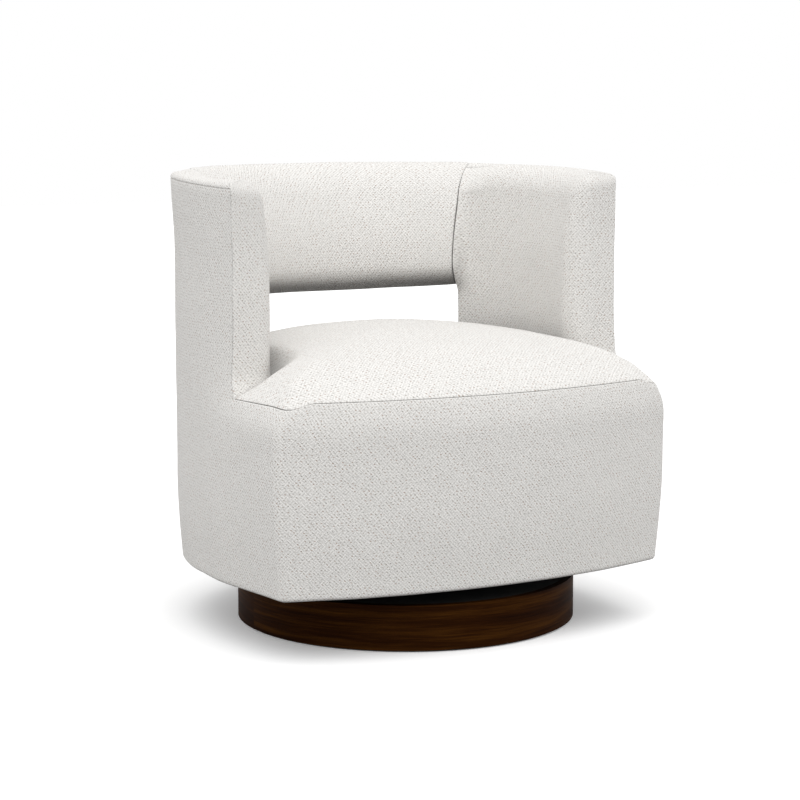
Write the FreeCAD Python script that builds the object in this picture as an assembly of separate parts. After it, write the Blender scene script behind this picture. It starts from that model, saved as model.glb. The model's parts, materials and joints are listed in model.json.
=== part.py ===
"""Swivel barrel chair: a curved shell of two arms and a padded back bolster, on a crowned
tight seat, turning on a round wooden plinth.

Millimetres, +Z up. The origin is where the swivel axis meets the floor, and the front of
the chair faces -Y. The right side is modelled and mirrored wherever the chair is symmetric.
"""
import FreeCAD
import Part
import math
import os

from FreeCAD import Vector

# Plinth, the round drum that stands on the floor
PLINTH_R = 280.0
PLINTH_TOP = 75.0
FELT_T = 3.0
FELT_MARGIN = 6.0
HOOP_T = 12.0
PLINTH_BOARD_T = 18.0
PLINTH_HOLE_R = 120.0
BLOCK_COUNT = 8
BLOCK_DEPTH = 34.0
BLOCK_WIDTH = 60.0

# Swivel bearing between the plinth and the body
SWIVEL_GAP = 24.0
PLATE_T = 3.0
PLATE_R = 150.0
BALL_R = 4.0
BALL_RACE_R = 120.0
BALL_COUNT = 24
RACE_DEPTH = 1.0
RACE_CLEARANCE = 0.06
CAGE_T = 2.0
CAGE_WIDTH = 22.0
CAGE_CLEARANCE = 0.3
SPACER_R = 175.0
PIN_R = 10.0
PIN_HEAD_R = 16.0
PIN_HEAD_T = 2.5
PIN_CLEARANCE = 0.1
LOWER_BOLT_CIRCLE_R = 70.0
UPPER_BOLT_CIRCLE_R = 95.0
BOLT_COUNT = 4
BOLT_R = 3.0
BOLT_HEAD_R = 6.5
BOLT_HEAD_T = 2.2
NUT_R = 8.0
NUT_T = 5.0
HOLE_CLEARANCE = 0.25
BOLT_TAIL = 2.0
DECK_HOLE_CLEARANCE = 6.0
DUST_HOLE_CLEARANCE = 4.0

# Barrel, the round wall of arms and back, about its own upright axis
BARREL_Y = 23.0
BARREL_R = 369.0
TOP_FLARE = 5.0
BASE_BACK_INSET = 7.0
BASE_FRONT_INSET = 10.0
BASE_ROUND = 8.0
SIDE_Y = -42.0
SIDE_SWELL = 3.0
CREASE_Y = -100.0
CREASE_TUCK = 1.0
CORNER_Y = -227.0
CORNER_TUCK = 14.0
CORNER_R = 19.0
CORNER_LEAST_R = 4.0
FRONT_Y = -303.0
FRONT_BOW_R = 1057.0
BELLY_Z = 317.0
LOW_BELLY_Z = 190.5
LOW_BELLY_BACK_INSET = 1.0
LOW_BELLY_FRONT_INSET = 3.0
HIGH_BELLY_Z = 368.0
HIGH_BELLY_INSET = 1.0
HIGH_BELLY_BULGE = 0.85
SEAM_Z = 402.0
SEAM_INSET = 9.0
SEAM_BULGE = 0.45
WALL_LEVELS = (1 / 3, 2 / 3, 1)
WALL_FRONT_INSETS = (42.0, 70.0, 84.0)

# Arms
ARM_T = 73.0
ARM_FRONT_Y = -90.5
ARM_END_TURN = 9.2
ARM_BACK_ANGLE = 41.0
ARM_CREST_Z = 741.0
ARM_SEAM_DROP = 15.0
ARM_INNER_ROUND = 42.0
ARM_CORNER_ROUND = 24.0
ARM_NOSE_ROUND = 25.0

# Back bolster
ROLL_BOTTOM_Z = 520.0
ROLL_ROUND = 43.0
ROLL_DEPTH = 106.0
ROLL_WAIST_RISE = 0.325
ROLL_WAIST_DEPTH = 99.0
ROLL_SHOULDER_RISE = 0.661
ROLL_SHOULDER_DEPTH = 77.0
ROLL_CREST_STEP = 2.5
ROLL_CREST_DEPTH = 11.0
ROLL_TOP_SPAN = (0.4, 0.62)
ROLL_BACK_DROP = 14.0

# Seat crown
SEAT_APEX_Z = 485.0
SEAT_APEX_Y = 20.0
CROWN_DROP = 51.0
CROWN_EDGE_DROP = 49.5
CROWN_EDGE_POWER = 7
CROWN_STEPS = (0.9, 0.8, 0.65, 0.45, 0.22)
CROWN_TIP = 0.06

# Upholstery and frame thicknesses
COVER_T = 2.0
PAD_T = 22.0
PANEL_T = 12.0
DECK_T = 18.0
RING_T = 18.0
RING_TOP_Z = 330.0
RING_WIDTH = 60.0
RAIL_T = 18.0
POST_DEPTH = 30.0
ARM_POST_DEPTH = 24.0
POST_ANGLE = 7.0
BACK_POST_ANGLE = 78.5
FRONT_POST_X = 134.0
TOP_RAIL_DROP = 69.0
TOP_RAIL_DEPTH = 34.0
LOWER_RAIL_Z = 548.0
LOWER_RAIL_DEPTH = 24.0
RAIL_FRONT_SETBACK = 32.0
DUST_T = 0.8
FIT = 0.3

# How far a trimming form runs past what it trims
TRIM = 1.0
OVERRUN = 6.0
FAR = 600.0

# Springs under the seat foam
SPRING_COUNT = 5
SPRING_SPACING = 84.0
SPRING_WIRE_R = 1.9
SPRING_LOOP_R = 9.0
SPRING_BAR = 30.0
SPRING_LANDING = 14.0
CLIP_T = 1.5
CLIP_WIDTH = 44.0
CLIP_LENGTH = 16.0
INSULATOR_T = 4.0

# Wood screws
SCREW_R = 2.2
SCREW_LENGTH = 36.0
PANEL_SCREW_LENGTH = 30.0
SCREW_END_MARGIN = 50.0

ARM_SEAM_Z = ARM_CREST_Z - ARM_SEAM_DROP
ROLL_CREST_Z = ARM_CREST_Z - ROLL_CREST_STEP
ROLL_HUB_Z = ROLL_BOTTOM_Z + ROLL_ROUND
ROLL_WAIST_Z = ROLL_HUB_Z + ROLL_WAIST_RISE * (ROLL_CREST_Z - ROLL_HUB_Z)
ROLL_SHOULDER_Z = ROLL_HUB_Z + ROLL_SHOULDER_RISE * (ROLL_CREST_Z - ROLL_HUB_Z)
TOP_RAIL_Z = ARM_CREST_Z - TOP_RAIL_DROP
SIDE_X = BARREL_R + SIDE_SWELL
CREASE_X = BARREL_R - CREASE_TUCK
CORNER_X = BARREL_R - CORNER_TUCK
BODY_Z = PLINTH_TOP + SWIVEL_GAP
DECK_TOP_Z = BODY_Z + DECK_T
FRAME_INSET = COVER_T + PAD_T
PANEL_R = BARREL_R - FRAME_INSET
POST_R = PANEL_R - PANEL_T
ARM_INNER_R = BARREL_R - ARM_T
CENTRE = Vector(0, BARREL_Y, 0)
UP = Vector(0, 0, 1)
ARM_FRONT_ANGLE = -math.degrees(math.asin((BARREL_Y - ARM_FRONT_Y) / BARREL_R))
ARM_FRAME_ANGLE = ARM_FRONT_ANGLE + math.degrees(RAIL_FRONT_SETBACK / BARREL_R)
ARM_FRAME_BACK_ANGLE = ARM_BACK_ANGLE - math.degrees((COVER_T + FIT) / ARM_INNER_R)

LOWER_PLATE_Z = BODY_Z - 2 * PLATE_T - 2 * (BALL_R - RACE_DEPTH)
UPPER_PLATE_Z = BODY_Z - PLATE_T
BALL_Z = LOWER_PLATE_Z + PLATE_T + BALL_R - RACE_DEPTH
SPRING_Z = RING_TOP_Z + CLIP_T + SPRING_WIRE_R
INSULATOR_Z = SPRING_Z + SPRING_WIRE_R
POCKET_TOP_Z = INSULATOR_Z + INSULATOR_T

nodes = {}
arm_core = []


def mirrored(shape):
    """The same piece on the chair's other side."""
    return shape.mirror(Vector(0, 0, 0), Vector(1, 0, 0))


def ring(outer, inner, z0, z1):
    """A flat round ring about the swivel axis, or a disc where inner is 0."""
    disc = Part.makeCylinder(outer, z1 - z0, Vector(0, 0, z0))
    if inner > 0:
        disc = disc.cut(Part.makeCylinder(inner, z1 - z0, Vector(0, 0, z0)))
    return disc


def circle_points(radius, count, start=0.0):
    """Evenly spaced points round the swivel axis."""
    turns = [math.radians(start + 360.0 * i / count) for i in range(count)]
    return [(radius * math.cos(a), radius * math.sin(a)) for a in turns]


def swept(face, start, end):
    """A face drawn in the plane of +X and Z at the barrel axis, turned from start to end degrees."""
    solid = face.revolve(CENTRE, UP, end - start)
    solid.rotate(CENTRE, UP, start)
    return solid


def arc_block(inner, outer, z0, z1, start, end):
    """A block bent about the barrel axis, such as a panel, rail or post."""
    corners = [(inner, z0), (outer, z0), (outer, z1), (inner, z1), (inner, z0)]
    wire = Part.makePolygon([Vector(r, BARREL_Y, z) for r, z in corners])
    return swept(Part.Face(wire), start, end)


def barrel_point(radius, angle, z=0.0):
    """A point at an angle round the barrel axis, counted from +X."""
    turn = math.radians(angle)
    return Vector(radius * math.cos(turn), BARREL_Y + radius * math.sin(turn), z)


def lerp(a, b, t):
    return a + (b - a) * t


def outline(z, back_in=0.0, front_in=0.0, bulge=1.0, scale=1.0):
    """The body's plan at a height: a round back, gently swelling sides, soft front corners
    and a bowed front. bulge takes the sides from the plain circle, 0, to the full width, 1."""
    r = BARREL_R - back_in
    round_side = math.sqrt(r ** 2 - (BARREL_Y - SIDE_Y) ** 2)
    round_crease = math.sqrt(r ** 2 - (BARREL_Y - CREASE_Y) ** 2)
    side_x = lerp(round_side, SIDE_X - back_in, bulge)
    crease_x = lerp(round_crease, CREASE_X - back_in, bulge)
    corner_x = CORNER_X - front_in - (CREASE_X - back_in - crease_x)
    front_y = FRONT_Y + front_in
    crease = Vector(crease_x, CREASE_Y, 0)
    along_side = (Vector(corner_x, CORNER_Y, 0) - crease).normalize()

    # The corner's tip is where the side line reaches the front's bow
    from_hub = crease - Vector(0, front_y + FRONT_BOW_R, 0)
    ahead = from_hub.dot(along_side)
    reach = -ahead + math.sqrt(ahead ** 2 - from_hub.dot(from_hub) + FRONT_BOW_R ** 2)
    tip = crease + along_side * reach
    slope = math.asin(tip.x / FRONT_BOW_R)
    along_front = Vector(-math.cos(slope), -math.sin(slope), 0)
    radius = max(CORNER_R - 0.5 * front_in, CORNER_LEAST_R)
    half = 0.5 * math.acos(max(-1.0, min(1.0, along_side.dot(along_front))))
    tangent = radius * math.tan(half)
    start = tip - along_side * tangent
    end = tip + along_front * tangent
    inward = (along_front - along_side).normalize()
    middle = tip + inward * (radius / math.cos(half) - radius)

    def place(p, side=1):
        x = side * p.x * scale
        y = SEAT_APEX_Y + (p.y - SEAT_APEX_Y) * scale
        return Vector(x, y, z)

    back = Vector(0, BARREL_Y + r, 0)
    edges = []
    right = [
        (Vector(r, BARREL_Y, 0), Vector(side_x, SIDE_Y, 0), crease),
        (crease, None, start),
        (start, middle, end),
    ]
    quarter = barrel_point(r, 45)
    edges.append(Part.Arc(place(back), place(quarter), place(Vector(r, BARREL_Y, 0))).toShape())
    for a, m, b in right:
        if m is None:
            edges.append(Part.LineSegment(place(a), place(b)).toShape())
        else:
            edges.append(Part.Arc(place(a), place(m), place(b)).toShape())
    front = Vector(0, front_y, 0)
    edges.append(Part.Arc(place(end), place(front), place(end, -1)).toShape())
    for a, m, b in reversed(right):
        if m is None:
            edges.append(Part.LineSegment(place(b, -1), place(a, -1)).toShape())
        else:
            edges.append(Part.Arc(place(b, -1), place(m, -1), place(a, -1)).toShape())
    edges.append(Part.Arc(place(Vector(r, BARREL_Y, 0), -1), place(quarter, -1), place(back)).toShape())
    return Part.Wire(edges)


def prism(inset, z0, z1, bulge=1.0):
    """The body's full plan, inset all round, between two heights."""
    face = Part.Face(outline(z0, inset, inset, bulge))
    return face.extrude(Vector(0, 0, z1 - z0))


def seat_core():
    """What the front padding wraps: the frame, and above it the foam, which follows the seam."""
    return Part.makeLoft([
        outline(BODY_Z - TRIM, FRAME_INSET, FRAME_INSET),
        outline(RING_TOP_Z, FRAME_INSET, FRAME_INSET),
        outline(SEAM_Z, FRAME_INSET, FRAME_INSET, SEAM_BULGE),
    ], True, True)


def foam_block():
    """The part of that core between the seat ring and the seam."""
    return Part.makeLoft([
        outline(RING_TOP_Z, FRAME_INSET, FRAME_INSET),
        outline(SEAM_Z, FRAME_INSET, FRAME_INSET, SEAM_BULGE),
    ], True, True)


def body_form(inset):
    """The outer form of body and arms: tucked in at the base, widest at the belly, and
    from the seam up a round wall with a slight flare."""
    back, front, eased = BASE_BACK_INSET, BASE_FRONT_INSET, BASE_ROUND / 3
    levels = [
        (BODY_Z, back + BASE_ROUND, front + BASE_ROUND, 1.0),
        (BODY_Z + BASE_ROUND / 2, back + eased, front + eased, 1.0),
        (BODY_Z + 2 * BASE_ROUND, back, front, 1.0),
        (LOW_BELLY_Z, LOW_BELLY_BACK_INSET, LOW_BELLY_FRONT_INSET, 1.0),
        (BELLY_Z, 0.0, 0.0, 1.0),
        (HIGH_BELLY_Z, 0.0, HIGH_BELLY_INSET, HIGH_BELLY_BULGE),
        (SEAM_Z, 0.0, SEAM_INSET, SEAM_BULGE),
    ]
    for share, front in zip(WALL_LEVELS, WALL_FRONT_INSETS):
        flare = TOP_FLARE if share == 1 else 0.0
        levels.append((lerp(SEAM_Z, ARM_SEAM_Z, share), -flare, front, 0.0))
    levels.append((ARM_CREST_Z + 2 * OVERRUN, -TOP_FLARE, WALL_FRONT_INSETS[-1], 0.0))
    wires = [outline(z, back + inset, front + inset, bulge) for z, back, front, bulge in levels]
    return Part.makeLoft(wires, True, False)


def crown_height(s):
    """Height of the seat's crown at a fraction s of the way from its top to the body's side."""
    return SEAT_APEX_Z - CROWN_DROP * s ** 2 - CROWN_EDGE_DROP * s ** CROWN_EDGE_POWER


def crown_form(inset):
    """The crowned top of the seat, from its seam up."""
    wires = [outline(SEAM_Z, COVER_T + inset, SEAM_INSET + inset, SEAM_BULGE)]
    for s in CROWN_STEPS:
        wires.append(outline(crown_height(s) - inset, scale=s))
    wires.append(outline(SEAT_APEX_Z - inset, scale=CROWN_TIP))
    return Part.makeLoft(wires, True, False)


def face_of(steps):
    """A face from steps of (end,) lines and (middle, end) arcs in radius and height."""
    def at(p):
        return Vector(p[0], BARREL_Y, p[1])

    edges = []
    here = steps[0][0]
    for step in steps[1:]:
        if len(step) == 1:
            edges.append(Part.LineSegment(at(here), at(step[0])).toShape())
        else:
            edges.append(Part.Arc(at(here), at(step[0]), at(step[1])).toShape())
        here = step[-1]
    return Part.Face(Part.Wire(edges))


def arm_section(inset, bottom):
    """Arm in section: flat outside, a rise from the outer seam to the crest, and a round
    shoulder down to the flat inside. It runs past the body form, which trims it."""
    inner = ARM_INNER_R + inset
    crest = ARM_CREST_Z - inset
    shoulder = ARM_INNER_ROUND - inset
    crest_r = ARM_INNER_R + ARM_INNER_ROUND
    rise = ARM_CREST_Z - ARM_SEAM_Z
    run = BARREL_R + TOP_FLARE - crest_r
    top_round = (run ** 2 + rise ** 2) / (2 * rise) - inset
    outer_turn = math.asin((run + OVERRUN) / (top_round + inset))

    def on_top(turn):
        return crest_r + top_round * math.sin(turn), crest - top_round + top_round * math.cos(turn)

    outer = on_top(outer_turn)
    half_outer = on_top(0.5 * outer_turn)
    half_inner = (crest_r - shoulder * math.sqrt(0.5), crest - shoulder + shoulder * math.sqrt(0.5))
    return face_of([
        [(inner, bottom)],
        [(FAR, bottom)],
        [(FAR, outer[1])],
        [outer],
        [half_outer, (crest_r, crest)],
        [half_inner, (inner, crest - shoulder)],
        [(inner, bottom)],
    ])


def arm_front_line(inset):
    """A point on the right arm's front face, the way along it inwards and the way out of it."""
    turn = math.radians(ARM_END_TURN)
    inwards = Vector(-math.cos(turn), math.sin(turn), 0)
    out = Vector(-math.sin(turn), -math.cos(turn), 0)
    edge = barrel_point(BARREL_R, ARM_FRONT_ANGLE)
    return edge - out * inset, inwards, out


def arm_plan(inset, z0, z1):
    """Right arm in plan: front face, soft inner corner, round inside and a flat back end."""
    edge, inwards, out = arm_front_line(inset)
    inner = ARM_INNER_R + inset
    radius = ARM_CORNER_ROUND - inset
    start = edge - out * radius - CENTRE
    b = start.dot(inwards)
    c = start.dot(start) - (inner + radius) ** 2
    hub = start + inwards * (-b - math.sqrt(b ** 2 - c))
    touch_front = hub + out * radius
    to_axis = Vector(hub).normalize() * -1
    touch_inner = hub + to_axis * radius
    bend = hub + (out + to_axis).normalize() * radius
    back = ARM_BACK_ANGLE - math.degrees(inset / (ARM_INNER_R + 0.5 * ARM_T))
    inner_start = math.degrees(math.atan2(touch_inner.y, touch_inner.x))
    lift = CENTRE + Vector(0, 0, z0)
    inner_middle = barrel_point(inner, 0.5 * (inner_start + back), z0)
    inner_back = barrel_point(inner, back, z0)
    far_back = barrel_point(FAR, back, z0)
    far_side = Vector(FAR, edge.y, z0)
    far_front = edge - inwards * (FAR - BARREL_R) + Vector(0, 0, z0)
    wire = Part.Wire([
        Part.LineSegment(far_front, touch_front + lift).toShape(),
        Part.Arc(touch_front + lift, bend + lift, touch_inner + lift).toShape(),
        Part.Arc(touch_inner + lift, inner_middle, inner_back).toShape(),
        Part.LineSegment(inner_back, far_back).toShape(),
        Part.LineSegment(far_back, far_side).toShape(),
        Part.LineSegment(far_side, far_front).toShape(),
    ])
    return Part.Face(wire).extrude(Vector(0, 0, z1 - z0))


def arm_nose(inset, z0):
    """Everything behind the right arm's front face, with the top front edge rounded."""
    edge, inwards, out = arm_front_line(inset)
    top = ARM_CREST_Z - inset
    radius = ARM_NOSE_ROUND - inset

    def at(depth, z):
        return edge - out * depth - inwards * FAR + Vector(0, 0, z)

    turn = radius * (1 - math.sqrt(0.5))
    wire = Part.Wire([
        Part.LineSegment(at(0, z0), at(0, top - radius)).toShape(),
        Part.Arc(at(0, top - radius), at(turn, top - turn), at(radius, top)).toShape(),
        Part.LineSegment(at(radius, top), at(FAR, top)).toShape(),
        Part.LineSegment(at(FAR, top), at(FAR, z0)).toShape(),
        Part.LineSegment(at(FAR, z0), at(0, z0)).toShape(),
    ])
    return Part.Face(wire).extrude(inwards * 2 * FAR)


def arm_form(inset, bottom):
    """The right arm down to a height, running past the body form on its outside."""
    section = swept(arm_section(inset, bottom), ARM_FRONT_ANGLE - 2 * OVERRUN, ARM_BACK_ANGLE + OVERRUN)
    plan = arm_plan(inset, bottom - TRIM, ARM_CREST_Z + OVERRUN)
    return section.common(plan).common(arm_nose(inset, bottom - TRIM))


def roll_section(inset):
    """Back bolster in section: round underside, full front that leans back, soft top."""
    outer = BARREL_R + TOP_FLARE
    front = BARREL_R - ROLL_DEPTH + inset
    waist = BARREL_R - ROLL_WAIST_DEPTH + inset
    shoulder = BARREL_R - ROLL_SHOULDER_DEPTH + inset
    crest = (BARREL_R - ROLL_CREST_DEPTH, ROLL_CREST_Z - inset)
    radius = ROLL_ROUND - inset
    hub = (BARREL_R - ROLL_DEPTH + ROLL_ROUND, ROLL_HUB_Z)
    low = (hub[0], hub[1] - radius)
    half = (hub[0] - radius * math.sqrt(0.5), hub[1] - radius * math.sqrt(0.5))
    along, up = ROLL_TOP_SPAN
    above = (lerp(shoulder, crest[0], along), lerp(ROLL_SHOULDER_Z, crest[1], up))
    seam = (outer, ARM_SEAM_Z - inset)
    past = (outer + OVERRUN, ARM_SEAM_Z - ROLL_BACK_DROP - inset)
    return face_of([
        [(past[0], ROLL_BOTTOM_Z + inset)],
        [low],
        [half, (front, hub[1])],
        [(waist, ROLL_WAIST_Z), (shoulder, ROLL_SHOULDER_Z)],
        [above, crest],
        [seam, past],
        [(past[0], ROLL_BOTTOM_Z + inset)],
    ])


def roll_form(inset):
    """The bolster between the arms' back ends, running past the body form on its outside."""
    gap = math.degrees((FIT + inset) / ARM_INNER_R)
    return swept(roll_section(inset), ARM_BACK_ANGLE + gap, 180.0 - ARM_BACK_ANGLE - gap)


def front_zone(z0, z1):
    """Everything in front of the two arms' front faces."""
    edge, inwards, out = arm_front_line(0.0)
    near = edge + inwards * (ARM_T + OVERRUN)
    far = edge - inwards * FAR
    corners = [(near.x, near.y), (far.x, far.y), (far.x, -2 * FAR), (-far.x, -2 * FAR),
               (-far.x, far.y), (-near.x, near.y), (near.x, near.y)]
    wire = Part.makePolygon([Vector(x, y, z0) for x, y in corners])
    return Part.Face(wire).extrude(Vector(0, 0, z1 - z0))


def barrel_disc(radius, z0, z1):
    """A round slab about the barrel axis."""
    return Part.makeCylinder(radius, z1 - z0, CENTRE + Vector(0, 0, z0))


def wall_ring(inner, z0, z1):
    """The ring outside a radius, behind the arms' front faces."""
    return arc_block(inner, FAR, z0, z1, ARM_FRONT_ANGLE - OVERRUN, 180.0 - ARM_FRONT_ANGLE + OVERRUN)


def bolt(x, y, head_z, tip_z):
    """A round-headed bolt on an upright axis, from its head towards its tip."""
    down = 1 if tip_z > head_z else -1
    head_base = head_z if down > 0 else head_z - BOLT_HEAD_T
    head = Part.makeCylinder(BOLT_HEAD_R, BOLT_HEAD_T, Vector(x, y, head_base))
    shank_start = head_z + BOLT_HEAD_T if down > 0 else tip_z
    shank_end = tip_z if down > 0 else head_z - BOLT_HEAD_T
    shank = Part.makeCylinder(BOLT_R, shank_end - shank_start, Vector(x, y, shank_start))
    return head.fuse(shank).removeSplitter()


def hex_nut(x, y, z):
    """A hexagonal nut whose bore clears the bolt."""
    turns = [math.radians(60 * i) for i in range(7)]
    corners = [Vector(x + NUT_R * math.cos(a), y + NUT_R * math.sin(a), z) for a in turns]
    blank = Part.Face(Part.makePolygon(corners)).extrude(Vector(0, 0, NUT_T))
    return blank.cut(Part.makeCylinder(BOLT_R + HOLE_CLEARANCE, NUT_T, Vector(x, y, z)))


def holes(places, radius, z0, z1):
    """Upright cylinders at the given places, as one cutting tool."""
    return Part.makeCompound([Part.makeCylinder(radius, z1 - z0, Vector(x, y, z0)) for x, y in places])


def make_plinth():
    inner = PLINTH_R - HOOP_T
    lower_bolts = circle_points(LOWER_BOLT_CIRCLE_R, BOLT_COUNT, 45.0)
    board_z = PLINTH_TOP - PLINTH_BOARD_T
    bottom_top = FELT_T + PLINTH_BOARD_T
    nodes["floor_felt"] = ring(PLINTH_R - FELT_MARGIN, 0, 0.0, FELT_T)
    nodes["plinth_hoop"] = ring(PLINTH_R, inner, FELT_T, PLINTH_TOP)
    nodes["plinth_bottom_board"] = ring(inner, PLINTH_HOLE_R, FELT_T, bottom_top)
    top = ring(inner, PIN_HEAD_R + HOLE_CLEARANCE, board_z, PLINTH_TOP)
    nodes["plinth_top_board"] = top.cut(holes(lower_bolts, BOLT_R + HOLE_CLEARANCE, board_z, PLINTH_TOP))
    blocks = []
    for i in range(BLOCK_COUNT):
        turn = 360.0 * (i + 0.5) / BLOCK_COUNT
        corner = Vector(inner - BLOCK_DEPTH, -0.5 * BLOCK_WIDTH, bottom_top)
        block = Part.makeBox(2 * BLOCK_DEPTH, BLOCK_WIDTH, board_z - bottom_top, corner)
        block.rotate(Vector(0, 0, 0), UP, turn)
        blocks.append(block.common(ring(inner, 0, bottom_top, board_z)))
    nodes["plinth_blocks"] = Part.makeCompound(blocks)


def race_groove():
    """The ring that the balls run in, a little larger than they are."""
    return Part.makeTorus(BALL_RACE_R, BALL_R + RACE_CLEARANCE, Vector(0, 0, BALL_Z))


def make_swivel():
    lower_bolts = circle_points(LOWER_BOLT_CIRCLE_R, BOLT_COUNT, 45.0)
    upper_bolts = circle_points(UPPER_BOLT_CIRCLE_R, BOLT_COUNT, 0.0)
    hole_r = BOLT_R + HOLE_CLEARANCE
    lower_top = LOWER_PLATE_Z + PLATE_T
    spacer = ring(SPACER_R, PIN_HEAD_R + HOLE_CLEARANCE, PLINTH_TOP, LOWER_PLATE_Z)
    nodes["swivel_spacer"] = spacer.cut(holes(lower_bolts, hole_r, PLINTH_TOP, LOWER_PLATE_Z))
    lower = ring(PLATE_R, PIN_R + HOLE_CLEARANCE, LOWER_PLATE_Z, lower_top)
    lower = lower.cut(holes(lower_bolts, hole_r, LOWER_PLATE_Z, lower_top))
    nodes["swivel_lower_plate"] = lower.cut(race_groove())
    upper = ring(PLATE_R, PIN_R + PIN_CLEARANCE, UPPER_PLATE_Z, BODY_Z)
    upper = upper.cut(holes(upper_bolts, hole_r, UPPER_PLATE_Z, BODY_Z))
    nodes["swivel_upper_plate"] = upper.cut(race_groove())

    pin = Part.makeCylinder(PIN_R, BODY_Z + FIT - LOWER_PLATE_Z, Vector(0, 0, LOWER_PLATE_Z))
    foot = Part.makeCylinder(PIN_HEAD_R, PIN_HEAD_T, Vector(0, 0, LOWER_PLATE_Z - PIN_HEAD_T))
    head = Part.makeCylinder(PIN_HEAD_R, PIN_HEAD_T, Vector(0, 0, BODY_Z + FIT))
    nodes["swivel_pin"] = pin.fuse([foot, head]).removeSplitter()

    places = circle_points(BALL_RACE_R, BALL_COUNT)
    balls = [Part.makeSphere(BALL_R, Vector(x, y, BALL_Z)) for x, y in places]
    nodes["bearing_balls"] = Part.makeCompound(balls)
    cage = ring(BALL_RACE_R + 0.5 * CAGE_WIDTH, BALL_RACE_R - 0.5 * CAGE_WIDTH,
                BALL_Z - 0.5 * CAGE_T, BALL_Z + 0.5 * CAGE_T)
    pockets = holes(places, BALL_R + CAGE_CLEARANCE, BALL_Z - CAGE_T, BALL_Z + CAGE_T)
    nodes["ball_cage"] = cage.cut(pockets)

    nut_z = PLINTH_TOP - PLINTH_BOARD_T - NUT_T
    tip = nut_z - BOLT_TAIL
    nodes["lower_bolts"] = Part.makeCompound([bolt(x, y, lower_top + BOLT_HEAD_T, tip) for x, y in lower_bolts])
    nodes["lower_nuts"] = Part.makeCompound([hex_nut(x, y, nut_z) for x, y in lower_bolts])
    tip = DECK_TOP_Z + NUT_T + BOLT_TAIL
    nodes["upper_bolts"] = Part.makeCompound([bolt(x, y, UPPER_PLATE_Z - BOLT_HEAD_T, tip) for x, y in upper_bolts])
    nodes["upper_nuts"] = Part.makeCompound([hex_nut(x, y, DECK_TOP_Z) for x, y in upper_bolts])


def post_angles():
    """Where the seat's posts stand round the barrel, by the angle of their middles."""
    front = ARM_FRAME_ANGLE + 0.5 * POST_ANGLE
    back = ARM_FRAME_BACK_ANGLE - 0.5 * POST_ANGLE
    return [front, back, 0.5 * (front + back), BACK_POST_ANGLE]


def front_post_places():
    """Where the seat's square posts stand behind the front panel."""
    corner_x = CORNER_X - FRAME_INSET - PANEL_T - 0.5 * POST_DEPTH - FIT
    inset = FRAME_INSET + PANEL_T + FIT
    middle_y = front_edge_y(FRONT_POST_X + 0.5 * POST_DEPTH, inset)
    return [(corner_x, CORNER_Y + POST_DEPTH), (FRONT_POST_X, middle_y)]


def upright_screw(x, y, z):
    return Part.makeCylinder(SCREW_R, SCREW_LENGTH, Vector(x, y, z))


def panel_screw(angle, z, clearance=0.0):
    """A screw from the outside of a bent panel towards the barrel axis, or the hole for one."""
    start = barrel_point(PANEL_R, angle, z)
    towards_axis = barrel_point(0.0, angle, z) - start
    length = PANEL_SCREW_LENGTH + clearance
    return Part.makeCylinder(SCREW_R + clearance, length, start, towards_axis)


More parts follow.
